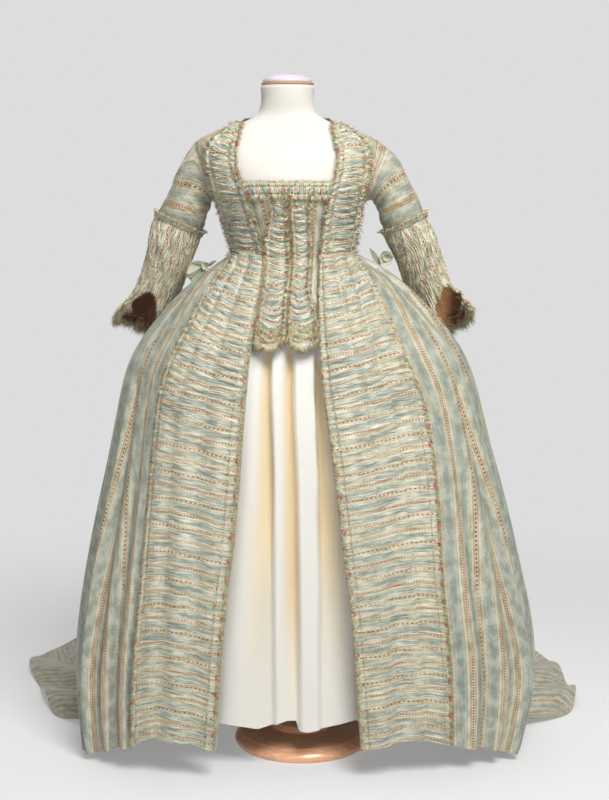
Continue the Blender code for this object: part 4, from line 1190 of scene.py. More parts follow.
def build_bows():
    """The two ribbon bows below the waist, one on each side of the skirt."""
    for word, side, put, _ in SIDES:
        row, column = BOWS[word]
        panel = swayed(put(side_panel(side, 1, PANEL_COLUMNS)))
        i, j = int(row), int(column)
        corners = panel[i : i + 2, j : j + 2]
        out = unit(normals(corners).mean(axis=(0, 1)))
        spot = corners[0] * (1 - row + i) + corners[1] * (row - i)
        spot = spot[0] * (1 - column + j) + spot[1] * (column - j)
        centre = spot + out * (KNOT_RADIUS + SEAM)
        facing = unit(0.35 * out * (1, 1, 0) + np.array([0.0, -1.0, 0.0]))
        across = np.cross(facing, (0.0, 0.0, -1.0))
        grids = (right_bow if side > 0 else left_bow)(centre, (across, np.array([0.0, 0.0, 1.0]), facing))
        vertices, faces, flats, start = [], [], [], 0
        for grid in grids:
            rows, columns = grid.shape[:2]
            vertices.append(placed(grid).reshape(-1, 3))
            faces.append(grid_faces(rows, columns, False) + start)
            flats.append(stack(arc(grid, 1) - arc(grid, 1)[:, -1:] / 2, arc(grid, 0)))
            start += rows * columns
        mesh = mesh_of(f"bow_ribbon_{word}", np.concatenate(vertices), np.concatenate(faces))
        cloth_map(mesh, *flats)
        piece = add_piece(f"bow_ribbon_{word}", mesh, MATERIALS["ribbon"], (f"bow_{word}",))
        solidified(piece, RIBBON["thick"], 0.0)
        length = sum(cut_size(grid)[2] for grid in grids) / RIBBON["width"]


# ---- the form --------------------------------------------------------------------------------
FORM_INSET, FORM_DROP, WAIST_INSET = 0.0040, 0.0035, 0.0034
FORM_BOTTOM = 0.862
POST_RADIUS = 0.016
ROUNDING = 0.002
NECK_RING = {"radius": 0.0565, "height": 0.0070}
NECK_CAP = {"radius": 0.0535, "top": 1.487}
COLLAR_TOP = 0.062
# Radius and height down the outer side of the foot and of the collar on it.
FOOT = [
    (0.085, 0.038), (0.112, 0.035), (0.135, 0.029), (0.148, 0.020), (0.153, 0.013), (0.151, 0.004),
    (0.147, 0.0),
]
COLLAR = [(0.030, COLLAR_TOP), (0.055, 0.059), (0.069, 0.053), (0.075, 0.045), (0.073, 0.0383)]


def form_surface(rows=84, columns=84):
    """Rings of the form: its hips below the waist, and the bodice's own shape, inset, above."""
    z = np.linspace(NECK_TOP, FORM_BOTTOM, rows)[:, None]
    degrees = np.linspace(0, 360, columns + 1)[:-1][None, :]
    inset = WAIST_INSET + (FORM_INSET - WAIST_INSET) * smoothstep(1.10, 1.16, z)
    inset = inset * (1 - smoothstep(1.40, 1.44, z))
    drop = FORM_DROP * smoothstep(1.30, 1.345, z) * (1 - smoothstep(1.395, 1.43, z))
    near = smoothstep(1.075, 1.10, z)
    both = zip(section(BODICE, z + drop), section(FORM_HIPS, z))
    sizes = [(body - inset) * near + hips * (1 - near) for body, hips in both]
    x, y = ring(degrees, *sizes)
    return stack(x, y, z)


def closed_mesh(name, grid):
    """A closed grid with a fan over its first and last rings."""
    rows, columns = grid.shape[:2]
    ends = np.stack([grid[0].mean(axis=0), grid[-1].mean(axis=0)])
    vertices = np.concatenate([grid.reshape(-1, 3), ends])
    quads = grid_faces(rows, columns, True)
    sides = np.concatenate([quads[:, [0, 1, 2]], quads[:, [0, 2, 3]]])
    j = np.arange(columns)
    k = (j + 1) % columns
    top = np.stack([np.full(columns, rows * columns), j, k], axis=1)
    last = (rows - 1) * columns
    foot = np.stack([np.full(columns, rows * columns + 1), last + k, last + j], axis=1)
    return mesh_of(name, vertices, np.concatenate([sides, top, foot]))


def turned_piece(name, profile, finish, nodes, x=0.0, columns=72):
    """A turned piece: its profile runs down its outer side, smoothed between its points."""
    profile = np.array(profile, float)
    place = np.concatenate([[0], np.cumsum(np.hypot(*np.diff(profile, axis=0).T))])
    fine = np.linspace(0, place[-1], 8 * len(profile))
    radius, z = np.interp(fine, place, profile[:, 0]), np.interp(fine, place, profile[:, 1])
    for _ in range(2):
        radius[1:-1] = radius[:-2] * 0.25 + radius[1:-1] * 0.5 + radius[2:] * 0.25
    turn = np.linspace(0, TURN, columns + 1)[:-1]
    grid = stack(x + radius[:, None] * np.sin(turn), -radius[:, None] * np.cos(turn), z[:, None])
    return add_piece(name, closed_mesh(name, grid), MATERIALS[finish], nodes)


def build_form():
    """The covered torso, its neck ring and cap, and the post on a two-tiered turned foot."""
    torso = closed_mesh("form_cover", placed(form_surface()))
    add_piece("form_cover", torso, MATERIALS["cover"], ("form_torso",))
    middle = float(LEAN.at(NECK_TOP, "shift"))
    low, r = NECK_TOP + SEAM, NECK_RING["radius"]
    top = low + NECK_RING["height"] - SEAM
    ring_profile = [(r - ROUNDING, top), (r, top - ROUNDING), (r, low + ROUNDING), (r - ROUNDING, low)]
    turned_piece("neck_ring_turned", ring_profile, "ring", ("form_neck_ring",), middle)
    r, low, edge = NECK_CAP["radius"], top + SEAM, top + SEAM + ROUNDING
    quarter = np.linspace(0.02, math.pi / 2, 8)
    dome = [(r * math.sin(a), edge + (NECK_CAP["top"] - edge) * math.cos(a)) for a in quarter]
    turned_piece("neck_cap_domed", dome + [(r, low)], "cap", ("form_neck_cap",), middle)
    low, top = COLLAR_TOP + SEAM, FORM_BOTTOM - SEAM
    turned_piece("post_turned", [(POST_RADIUS, top), (POST_RADIUS, low)], "wood", ("form_post",))
    turned_piece("foot_turned", FOOT, "wood", ("form_foot",))
    turned_piece("collar_turned", COLLAR, "wood", ("form_collar",))


# ---- bodice ----------------------------------------------------------------------------------
BODICE_TOP = 1.381
BODICE_FOOT = 1.0985
# From one place to another in shares across and down the panel, how wide, and how far out.
BODICE_CREASES = [
    (0.55, 0.30, 0.40, 0.75, 0.010, -0.0016),
    (0.80, 0.35, 0.62, 0.92, 0.012, 0.0014),
    (0.25, 0.55, 0.18, 0.98, 0.009, -0.0012),
]


def armhole_y(z, side_of_seam):
    share = np.clip((np.asarray(z, float) - ARMHOLE["z"]) / ARMHOLE["half_height"], -1, 1)
    return SIDE_Y + side_of_seam * ARMHOLE["half_depth"] * np.sqrt(1 - share**2)


def angle_at_y(y, z):
    """Degrees round the bodice at a depth y."""
    depth = np.where(y < 0, BODICE.at(z, "front"), BODICE.at(z, "back"))
    return np.degrees(np.arccos(np.clip(-y / depth, -1, 1)))


def front_angles(z):
    """Degrees of the front edge, the robing's outer edge, and the armhole or side seam."""
    width = BODICE.at(z, "half_width")
    inner = angle_of(FRONT_EDGE.at(z, "inner"), width)
    side = angle_at_y(armhole_y(z, -1), z) - 0.15
    outer = np.minimum(angle_of(FRONT_EDGE.at(z, "outer"), width), inner + 0.93 * (side - inner))
    return inner, outer, side


def bodice_panel(rows, start, end, columns):
    """The front panel between two of its three edges: 0 the opening, 1 the robing's edge, 2 the side."""
    z = np.linspace(BODICE_TOP, BODICE_FOOT, rows)[:, None]
    edges = front_angles(z)
    low, high = edges[start], edges[end]
    return bodice_point(low + (high - low) * sideways(columns), z)


def build_bodice():
    """Fitted fronts, their gathered robings, and the fitted side-backs under the sack."""
    for word, side, put, turn in SIDES:
        panel = bodice_panel(90, 0, 2, 48)
        grid = moved_out(panel, creases(panel, BODICE_CREASES))
        make_cloth(f"bodice_front_silk_{word}", put(grid), turn(lengthwise(panel, 1.0)),
                   (f"bodice_front_{word}",), held="stretched")
        base = moved_out(bodice_panel(90, 0, 1, 36), LIFT + CLOTH)
        base, _, _, height = gathered(base, 330, GATHERS["robing"], 5 + side)
        strip = put(moved_out(base, height))
        sets = [edge_tufts(strip, column, 100 + column + side, spacing=0.004) for column in (1, -2)]
        inner = {"strands": 6, "length": 0.008}
        sets += [edge_tufts(strip, column, 104 + column + side, **inner) for column in (5, -6)]
        sets += [clusters(strip, column, 204 + column + side, length=0.015, red=0.070) for column in (1, -2)]
        flat = crosswise(base, GATHERS["robing"], 11 + side, 0.030 + 0.011 * side)
        make_cloth(f"robing_silk_{word}", strip, turn(flat), (f"robing_{word}",), thick=0, held="gathered",
                   trims=(fringe(f"robing_fringe_{word}", sets),))
        z = np.linspace(BODICE_TOP, BODICE_FOOT, 70)[:, None]
        start = angle_at_y(armhole_y(z, 1), z) + 0.15
        back = bodice_point(start + (BACK_EDGE + 4 - start) * np.linspace(0, 1, 24), z)
        make_cloth(f"bodice_side_back_silk_{word}", put(back), turn(lengthwise(back, 1.0)),
                   (f"bodice_side_back_{word}",), held="stretched")


# ---- stomacher -------------------------------------------------------------------------------
STOMACHER_TOP = 1.247
STOMACHER_GAP = 0.0012
# How much of each half its gathered strip covers, from the middle out.
STRIP = Table("""
    z left right
    0.900 0.99 0.99
    1.000 0.99 0.96
    1.025 0.99 0.80
    1.128 0.96 0.70
    1.203 0.52 0.60
    1.250 0.48 0.56
""")
BAND, BAND_STAND = (1.2545, 1.227), 0.0042


def stomacher_point(x, z):
    """On the bodice's front above the waist, and on the skirt's below it."""
    up = bodice_point(angle_of(x, BODICE.at(z, "half_width")), z)
    low = skirt_point(angle_of(x, SKIRT.at(z, "half_width"), FRONT_SQUARENESS), z)
    return np.where((np.asarray(z) >= WAIST)[..., None], up, low)


def stomacher_half(rows, columns, start, end):
    """One half from a share of its width to another that depends on the height, down to its lobed hem."""
    down = downwards(rows)
    level = STOMACHER_TOP + (STOMACHER_HEM.rows[0, 1] - STOMACHER_TOP) * down
    across = start + (end(level) - start) * sideways(columns)
    z = STOMACHER_TOP + (STOMACHER_HEM.at(across, "z") - STOMACHER_TOP) * down
    half = FRONT_EDGE.at(z, "inner") - 2.5 * SEAM
    return stomacher_point(STOMACHER_GAP + (half - STOMACHER_GAP) * across, z)


def build_stomacher():
    """Two plain halves, a gathered strip beside the middle of each, and the band at the neckline."""
    for word, side, put, turn in SIDES:
        half = stomacher_half(120, 40, 0.0, lambda z: 1.0 + 0 * z)
        make_cloth(f"stomacher_silk_{word}", put(half), turn(lengthwise(half, 0.72)),
                   (f"stomacher_{word}",), held="stretched")
        base = moved_out(stomacher_half(80, 34, 0.0, lambda z: STRIP.at(z, word)), LIFT)
        base, _, _, height = gathered(base, 300, GATHERS["strip"], 23 + side)
        strip = put(moved_out(base, height))
        sets = [edge_tufts(strip, 2, 120 + side), edge_tufts(strip, -3, 122 + side)]
        sets += [clusters(strip, column, 220 + column + side) for column in (3, -4)]
        layered = {"length": 0.015, "strands": 12, "lift": 0.8}
        sets += [end_tufts(strip, row, 124 + row + side, **layered) for row in (-2, -9, -17, -26)]
        sets.append(end_tufts(put(half), -1, 126 + side, length=0.015, strands=14))
        flat = crosswise(base, GATHERS["strip"], 29 + side, 0.004 + 0.017 * side)
        make_cloth(f"stomacher_strip_{word}", strip, turn(flat), thick=0, held="gathered",
                   trims=(fringe(f"stomacher_floss_{word}", sets, (f"stomacher_fringe_{word}",)),))
    z = np.linspace(*BAND, 26)[:, None]
    across = np.linspace(-1, 1, 260)[None, :]
    x = across * (FRONT_EDGE.at(z, "inner") - 5 * SEAM)
    band = stomacher_point(np.abs(x), z)
    band[..., 0] *= np.sign(across)
    along = arc(band, 1).mean(axis=0)[None, :]
    share = downwards(26)
    flat = stack(along * GATHERS["band"]["full"], STOMACHER_TOP - z)
    band = moved_out(band, BAND_STAND + ruching(along, share, GATHERS["band"], 37))
    sets = [
        end_tufts(band, 0, 130, length=0.012, spacing=0.0038),
        end_tufts(band, 6, 132, length=0.008),
        end_tufts(band, -3, 131, length=0.012),
    ]
    floss = fringe("neck_band_floss", sets)
    make_cloth("stomacher_band_silk", band, flat, ("stomacher_neck_band",), held="gathered",
               trims=(floss,))


# ---- sleeves and cuffs -----------------------------------------------------------------------
SLEEVE_HEAD = 0.18  # share of the sleeve where its head has become a tube
SLEEVE_BENDS, SLEEVE_DRAGS = 0.0020, 0.0016
HEAD_PLEATS = {"count": 21, "depth": 0.0042, "reach": 0.20}
HEADING_STAND = 0.0036
HEADING_RISE = (0.0056, np.array([-0.42, -0.10, 0.90]))
# How level the sleeve's stripes lie, from 0 for square to the arm, how far they are drawn out along
# it, and where the first one is.
SLEEVE_STRIPES = {
    "right": {"level": 0.20, "stretch": 0.89, "start": 0.0347},
    "left": {"level": 0.45, "stretch": 0.81, "start": 0.0455},
}


def around_arm(columns):
    """Shares of a turn round the arm: 1 at its outer side, a quarter in front, half at the body."""
    return np.linspace(1, 0, columns + 1)[:-1][None, :]


def arm_rings(table, shares, around, arm):
    """Rings round the arm, at these shares of its length."""
    s = np.asarray(shares, float)
    turn = TURN * np.asarray(around, float)
    get = lambda name: table.at(s, name)
    slope = np.radians(get("slope"))
    bulge = np.sin(math.pi * np.clip((1.33 - get("z")) / 0.18, 0, 1))
    below = np.clip((1.19 - get("z")) / 0.27, 0, 1.2)
    spread = arm["middle"] * bulge + arm["end"] * below**2
    out = get("half") * np.cos(turn) * (1 + (arm["width"] - 1) * np.minimum(1, 2 * below))
    x = get("x") + spread + out * np.sin(slope)
    z = get("z") + out * np.cos(slope)
    y = get("y") - get("depth") * np.sin(turn)
    return stack(x, y, z)


def sleeve_surface(arm, rows, columns):
    """The sleeve's tube, and its head drawn out to the armhole on the bodice's side."""
    around = around_arm(columns)
    share = downwards(rows)
    grid = arm_rings(SLEEVE, np.maximum(share, SLEEVE_HEAD), around, arm)
    turn = TURN * around[0]
    z = ARMHOLE["z"] + ARMHOLE["half_height"] * np.cos(turn)
    y = SIDE_Y - ARMHOLE["half_depth"] * np.sin(turn)
    angle = np.radians(angle_at_y(y, z))
    head = stack(BODICE.at(z, "half_width") * np.sin(angle), y, z)
    t = np.clip(share / SLEEVE_HEAD, 0, 1)[..., None]
    return head[None] * (1 - t) + grid * t


def sleeve_piece(word, side, put, turn):
    """A close sleeve: fine pleats over the shoulder, then soft bends and drag lines across it."""
    rows, columns = 64, 126
    grid = sleeve_surface(ARMS[word], rows, columns)
    share, around = downwards(rows), around_arm(columns)
    outer = np.cos(TURN * around)
    length = arc(grid, 0).mean(axis=1, keepdims=True)
    pleats = HEAD_PLEATS["depth"] * np.abs(np.sin(math.pi * HEAD_PLEATS["count"] * around))
    pleats = pleats * (0.5 + 0.5 * outer) ** 2 * np.exp(-((share / HEAD_PLEATS["reach"]) ** 2))
    below = smoothstep(0.12, 0.4, share)
    bends = SLEEVE_BENDS * wave(share * 2.2 + 0.6 * np.sin(TURN * around), 61 + side) * below
    drags = SLEEVE_DRAGS * wave(share * 3.1 + 2.0 * around, 65 + side) * wave(around * 3, 67 + side) * below
    grid = grid + ring_normals(grid) * (pleats + bends + drags - 0.001)[..., None]
    lay = SLEEVE_STRIPES[word]
    slope = np.radians(np.maximum(SLEEVE.at(share, "slope"), 45.0))
    level = lay["level"] * SLEEVE.at(share, "half") / np.tan(slope) * smoothstep(0.0, 0.3, share)
    stripe = lay["start"] + lay["stretch"] * length - level * np.append(outer, 1.0)[None, :]
    flat = stack(stripe, arc(looped(grid), 1))
    make_cloth(f"sleeve_silk_{word}", put(grid), turn(flat), (f"sleeve_{word}",),
               finish="creased", closed=True)


CUFF_RIDGES = {"step": 0.0050, "depth": 0.0042, "bulge": 0.0013}
LONG_FRINGE = 0.80  # share of its length above which the cuff's end has the long fringe


def cuff_end(around, arm):
    """Share of the cuff's length at each place round it: it is short at its notch."""
    near = 0.5 + 0.5 * np.cos(TURN * (around - arm["notch"]))
    return 1.0 - arm["cut"] * near ** arm["narrowness"]


def cuff_piece(word, side, put, turn):
    """A cuff gathered round the arm, so that its stripes and crinkled ridges run down it."""
    columns = 330
    arm, around = ARMS[word], around_arm(columns)
    end = cuff_end(around, arm) + 0.012 * wave(around * 6, 3) + 0.008 * np.abs(np.sin(math.pi * 56 * around))
    down = downwards(40)
    grid = arm_rings(CUFF, down * end, around, arm)
    girth = arc(looped(grid), 1)[:, -1].mean()
    round_it = sideways(columns + 1) * girth
    place = round_it / CUFF_RIDGES["step"] + 0.7 * wave(down * 1.7 + round_it * 4, 71 + side)
    place = place + 0.9 * wave(round_it * 9, 73 + side)
    broken = np.clip(0.72 + 0.55 * wave(down * 2.4 + round_it * 26, 75 + side), 0.0, 1.4)
    ridges = np.abs(np.sin(math.pi * place)) ** 0.8 * broken
    bulges = wave(down * 7 + round_it * 6, 79 + side) * wave(down * 3 + round_it * 15, 81 + side)
    seam = smoothstep(0.0, 0.05, round_it / girth) * smoothstep(1.0, 0.95, round_it / girth)
    drawn = 0.35 + 0.65 * smoothstep(0.0, 0.10, down)
    flare = 0.006 * smoothstep(0.80, 1.0, down) * (0.6 + 0.8 * wave(round_it * 30, 83 + side))
    height = (CUFF_RIDGES["depth"] * ridges * drawn + CUFF_RIDGES["bulge"] * bulges + flare) * seam
    grid = grid + ring_normals(grid) * height[:, :-1, None]
    stripe = round_it * 1.3 + 0.007 * wave(down * 1.8 + round_it * 3, 77 + side)
    flat = stack(stripe, arc(looped(grid), 0))
    # Long ragged fringe round the end, and short fringe where the end is cut away in front.
    at, shares = int(round((1 - arm["notch"]) * columns)), cuff_end(around, arm)[0]
    back = columns // 2 - at
    long = put(np.roll(grid, -at, axis=1)[:, np.roll(shares, -at) > LONG_FRINGE])
    short = put(np.roll(grid, back, axis=1)[:, np.roll(shares, back) <= LONG_FRINGE])
    sets = [
        end_tufts(long, -1, 140 + side, length=0.023, strands=20, spacing=0.004, lift=0.8, plain=0.5),
        end_tufts(long, -3, 142 + side, length=0.016, strands=14, lift=1.3, plain=0.5),
        end_tufts(long, -5, 144 + side, length=0.012, strands=9, lift=1.3),
        end_tufts(long, -2, 148 + side, length=0.014, strands=10, lift=-1.2),
        end_tufts(long, -4, 150 + side, length=0.013, strands=8, lift=-1.4),
        end_tufts(short, -1, 146 + side, length=0.006, strands=6, lift=0.8),
    ]
    floss = fringe(f"cuff_floss_{word}", sets, (f"cuff_fringe_{word}",), 0.00058)
    make_cloth(f"cuff_silk_{word}", put(grid), turn(flat), (f"cuff_front_{word}", f"cuff_back_{word}"),
               finish="pleated", closed=True, held="gathered",
               lining="lining", trims=(floss,))


def heading_piece(word, side, put, turn):
    """The frill that stands over the cuff's top: drawn in by its thread, ragged and flared above it."""
    arm, around = ARMS[word], around_arm(240)
    rise = np.linspace(1, 0, 12)[:, None]
    rings = arm_rings(CUFF, 0.011 * (1 - rise), around, arm)
    rings = rings + (rise * HEADING_RISE[0])[..., None] * HEADING_RISE[1]
    flutes = np.sin(TURN * (30 * around + 0.4 * wave(around * 9, 85 + side)))
    frill = 0.0030 + (0.0030 + 0.0036 * flutes * (0.6 + 0.5 * wave(around * 11, 87 + side))) * rise**1.2
    rings = rings + ring_normals(rings) * (HEADING_STAND - 0.0030 + frill)[..., None]
    flat = stack(arc(looped(rings), 1) * 1.4, rise * 0.012)
    edge = looped(put(rings))
    sets = [
        end_tufts(edge, 0, 150 + side, length=0.007),
        end_tufts(edge, -1, 152 + side, length=0.005, strands=5),
    ]
    floss = fringe(f"heading_floss_{word}", sets)
    make_cloth(f"cuff_heading_silk_{word}", put(rings), turn(flat), (f"cuff_heading_{word}",),
               closed=True, held="gathered", trims=(floss,))


def build_sleeves():
    """Sleeves with stripes round the arm, and gathered cuffs with their frilled headings."""
    for each in SIDES:
        sleeve_piece(*each)
        cuff_piece(*each)
        heading_piece(*each)


# ---- skirt -----------------------------------------------------------------------------------
SKIRT_SHARES = [0, 0.02, 0.05, 0.09, 0.145, 0.215, 0.30, 0.40, 0.51, 0.62, 0.74, 0.87, 1.0]
FRONT_FOLDS, FRONT_FOLD_DEPTH = 2, 0.022
SIDE_FOLDS, SIDE_FOLD_DEPTH = 5, 0.034
# The deep fold by each pocket: how far beyond the trimming it runs, and the share of the rows where
# it ends. Then the creases of the side panels, and how deep a fold is where its painted shade is darkest.
POCKET_FOLDS = {
    "right": {"away": 0.009, "wide": 0.008, "deep": 0.012, "end": 0.26},
    "left": {"away": 0.012, "wide": 0.014, "deep": 0.020, "end": 0.42},
}
HIP_FOLDS = {
    "right": [(0.09, -0.06, 0.22, 0.56, 0.007, -0.016), (0.20, -0.10, 0.36, 0.62, 0.020, 0.014)],
    "left": [(0.00, -0.08, 0.02, 0.30, 0.005, -0.012), (0.17, -0.06, 0.17, 0.46, 0.012, 0.006)],
}
POCKET_SHADE_DEPTH, CREASE_SHADE_DEPTH = 0.018, 0.024


def front_panel(times, trim_columns, beyond_columns):
    """The front panel: the part under the trim, then the part that falls in folds beyond it."""
    shares = rows_between(SKIRT_SHARES, times)
    rib = resampled(skirt_ribs([SKIRT_SIDE], 1, SKIRT_TOP, rib_point), shares)[:, 0]
    beyond = np.linspace(0, 1, beyond_columns + 1)
    trim_share = np.concatenate([np.linspace(0, 1, trim_columns), np.ones(beyond_columns)])
    side_share = np.concatenate([np.zeros(trim_columns - 1), beyond])
    start, end = HEM_DEGREES
    hem = HEM.at(start + (end - start) * trim_share + (SKIRT_SIDE - end) * side_share, "height")
    hem = hem * rib[-1, 2] / hem[-1]
    fall = (SKIRT_TOP - rib[:, 2:3]) / (SKIRT_TOP - rib[-1, 2])
    z = SKIRT_TOP - (SKIRT_TOP - hem) * fall
    width = SKIRT.at(z, "half_width")
    inner = angle_of(FRONT_EDGE.at(z, "inner"), width, FRONT_SQUARENESS)
    side = turned_seam(SKIRT_SIDE, z)
    outer = angle_of(FRONT_EDGE.at(z, "outer"), width, FRONT_SQUARENESS)
    outer = np.minimum(outer, inner + 0.93 * (side - inner))
    grid = skirt_point(inner + (outer - inner) * trim_share + (side - outer) * side_share, z)
    grid[:, -1] = rib - np.array([SEAM, 0.0, 0.0])
    folds = 0.5 - 0.5 * np.cos(TURN * FRONT_FOLDS * side_share)
    return moved_out(grid, FRONT_FOLD_DEPTH * folds[None, :] * smoothstep(0.95, 0.15, z))


def pocket_fold(grid, column, fold):
    """Depth of a soft fold that runs down beside a column of the panel."""
    walked = arc(grid, 1)
    down = np.linspace(0, 1, len(grid))[:, None]
    bell = np.exp(-(((walked - walked[:, column : column + 1] - fold["away"]) / fold["wide"]) ** 2))
    fade = smoothstep(fold["end"], 0.4 * fold["end"], down) * smoothstep(-0.02, 0.04, down)
    return fold["deep"] * bell * fade


def side_folds(degrees, share):
    """Folds between the hip and the hem: deeper and rounder downwards, none at the seams."""
    place = (degrees - SKIRT_SIDE) / (BACK_EDGE - SKIRT_SIDE)
    turns = TURN * SIDE_FOLDS * (place + 0.035 * np.sin(TURN * place))
    uneven = 0.75 + 0.25 * np.sin(11 * place + 1)
    deeper = (0.10 + 0.90 * smoothstep(0.12, 0.85, share)) * np.minimum(1, share * 12)
    return SIDE_FOLD_DEPTH * (0.5 - 0.5 * np.cos(turns)) * uneven * deeper


def side_panel(side, times, columns):
    shares = rows_between(SKIRT_SHARES, times)
    degrees = np.linspace(SKIRT_SIDE, BACK_EDGE - 0.06, columns)
    grid = resampled(skirt_ribs(degrees, side, SKIRT_TOP, rib_point), shares)
    return moved_out(grid, side_folds(degrees[None, :], shares[:, None]))


def finer_columns(grid, columns):
    """The same grid with another number of columns, evenly over its own."""
    fine = np.linspace(0, 1, columns) * (grid.shape[1] - 1)
    low = np.minimum(fine.astype(int), grid.shape[1] - 2)
    part = (fine - low)[None, :, None]
    return grid[:, low] * (1 - part) + grid[:, low + 1] * part


def skirt_front_piece(word, side, put, turn):
    """A front panel, and the wide gathered trimming that lies on it beside the opening."""
    trim_columns = 24
    panel = front_panel(9, trim_columns, 50)
    flat = lengthwise(panel, (trim_columns - 1) / (panel.shape[1] - 1))
    depth = pocket_fold(panel, trim_columns - 1, POCKET_FOLDS[word])
    front = make_cloth(f"skirt_front_silk_{word}", swayed(put(moved_out(panel, -depth))), turn(flat),
                       (f"skirt_front_{word}",), finish="folded")
    # Painted shade along the pocket fold, from its depth.
    mark_fold_shade(front, turn(depth / POCKET_SHADE_DEPTH))
    base = finer_columns(moved_out(panel, TRIM_LIFT + CLOTH)[:, :trim_columns], 44)
    base, along, share, height = gathered(base, 640, GATHERS["trim"], 41 + side)
    # Lower down it is drawn up less, and falls in soft upright flutes instead.
    height = height * (1 - 0.68 * smoothstep(0.10, 0.55, along))
    flutes = wave(share * 1.9 + 0.5 * along, 47 + side, (1.0, 1.7), (1.0, 0.7))
    height = height + (0.0015 + 0.0055 * smoothstep(0.1, 0.9, along)) * (1 + flutes)
    strip = swayed(put(moved_out(base, height)))
    inner = {"strands": 4, "length": 0.007}
    sets = [edge_tufts(strip, column, 160 + column + side, strands=6) for column in (1, -2)]
    sets += [edge_tufts(strip, column, 164 + column + side, **inner) for column in (4, -5)]
    sets += [clusters(strip, column, 264 + column + side) for column in (2, -3)]
    flat = crosswise(base, GATHERS["trim"], 43 + side, 0.020 + 0.014 * side, 0.0012)
    make_cloth(f"skirt_trim_silk_{word}", strip, turn(flat), (f"skirt_trim_{word}",), finish="drawn",
               thick=0, held="gathered",
               trims=(fringe(f"skirt_trim_floss_{word}", sets),))


def skirt_side_piece(word, side, put, turn):
    """A side panel in folds, with the creases that run down from its pleats at the hip."""
    hip = side_panel(side, 8, 130)
    depth = creases(hip, HIP_FOLDS[word])
    panel = make_cloth(f"skirt_side_silk_{word}", swayed(put(moved_out(hip, depth))),
                       turn(lengthwise(hip, 0.3)), (f"skirt_side_{word}",), finish="folded")
    # Painted shade in the troughs of the hip creases, from their depth.
    mark_fold_shade(panel, turn(-depth / CREASE_SHADE_DEPTH))


def build_skirt():
    """Skirt fronts with their wide gathered trimmings, and the side panels."""
    for each in SIDES:
        skirt_front_piece(*each)
        skirt_side_piece(*each)


# ---- sack back -------------------------------------------------------------------------------
PLEAT_TOP_DEPTH, PLEAT_HEM_DEPTH, TRAIN_FOLD_DEPTH = 0.010, 0.070, 0.024
SACK_TOP_ROWS = [1.3865, 1.368, 1.335, 1.290, 1.220, 1.150]
SACK_COLUMNS = [0.0, 0.04, 0.10, 0.20, 0.27, 0.45, 0.64, 0.72, 0.82, 0.90, 1.0]
NECK_STRIP = {
    "foot": 1.3814, "rise": 0.0054, "height": 0.011, "stand": 0.0022, "flat": 1.38, "degrees": (106, 254),
}


def sack_point(degrees, z):
    """Behind the side-back panels above the waist, and part of the skirt's ring low down."""
    z = np.asarray(z, float)
    half = np.where(z > WAIST, BODICE.at(z, "half_width"), SKIRT.at(z, "half_width"))
    back = np.where(z > WAIST, BODICE.at(z, "back"), SKIRT.at(z, "back"))
    edge_angle = np.radians(turned_seam(BACK_EDGE, z))
    edge_x, edge_y = half * np.sin(edge_angle), -back * np.cos(edge_angle)
    out = smoothstep(0.0, 0.89, z) * 0.012
    centre = np.where(z > 0.89, SACK.at(z, "centre_back"), SKIRT.at(z, "back") + out)
    s, c = math.sin(math.radians(BACK_EDGE)), -math.cos(math.radians(BACK_EDGE))
    bulge = (centre - edge_y) / (1 - c)
    angle = np.radians(degrees)
    return stack(edge_x / s * np.sin(angle), centre - bulge - bulge * np.cos(angle), z)


def plateau(x, low, high, edge):
    return smoothstep(low - edge, low + edge, x) * (1 - smoothstep(high - edge, high + edge, x))


def box_pleats(degrees, share):
    """A double box pleat each side: crisp at the neck, opening into round folds down to the train."""
    place = np.abs(180.0 - degrees) / (180.0 - BACK_EDGE)
    edge = 0.02 + 0.05 * share
    first = plateau(place, 0.07, 0.86, edge)
    second = plateau(place, 0.235, 0.68, edge)
    falling = PLEAT_TOP_DEPTH + (PLEAT_HEM_DEPTH - PLEAT_TOP_DEPTH) * smoothstep(0.15, 0.75, share)
    depth = falling + (TRAIN_FOLD_DEPTH - falling) * smoothstep(0.75, 0.98, share)
    return depth * (0.5 * first + 0.5 * second) * np.minimum(1, share * 30)


def sack_half(side, times, finer):
    degrees = 180.0 - rows_between(SACK_COLUMNS, finer)[::-1] * (180.0 - BACK_EDGE)
    tops = rows_between(SACK_TOP_ROWS + [SKIRT_TOP], times)[:-1]
    upper = sack_point(degrees[None, :], tops[:, None])
    lower = resampled(skirt_ribs(degrees, side, SKIRT_TOP, sack_point), rows_between(SKIRT_SHARES, times))
    grid = np.concatenate([upper, lower])
    stand = SACK_STAND * smoothstep(0.95, WAIST, grid[..., 2])
    share = np.linspace(0, 1, len(grid))[:, None]
    return moved_out(grid, stand + box_pleats(degrees[None, :], share))


def build_sack():
    """The sack back from the neck to the train, and the gathered strip round the back of the neck."""
    right, left = sack_half(1, 7, 6), mirrored(sack_half(-1, 7, 6))
    middle = (right[:, -1:] + left[:, :1]) / 2
    middle[..., 0] = 0
    grid = np.concatenate([right[:, :-1], middle, left[:, 1:]], axis=1)
    make_cloth("sack_back_silk", swayed(grid), lengthwise(grid, 0.5), ("sack_back",))
    start, end = NECK_STRIP["degrees"]
    along = sideways(200)
    degrees = start + (end - start) * along
    behind = smoothstep(start + 6, BACK_EDGE - 1, 180 - np.abs(180 - degrees))
    down = downwards(12)
    z = NECK_STRIP["foot"] + NECK_STRIP["rise"] * behind + NECK_STRIP["height"] * (1 - down)
    strip = bodice_point(degrees, z)
    length = arc(strip, 1).mean(axis=0)[None, :]
    height = NECK_STRIP["stand"] + ruching(length, down, GATHERS["neck"], 91)
    flat = stack(length * GATHERS["neck"]["full"], z - NECK_STRIP["flat"])
    make_cloth("neck_strip_silk", moved_out(strip, height), flat, ("neck_strip_back",), held="gathered")


# ---- petticoat -------------------------------------------------------------------------------
PETTICOAT_PLEATS, PETTICOAT_FRONT, PETTICOAT_PLEAT_DEPTH = 14, 2.4, 0.026
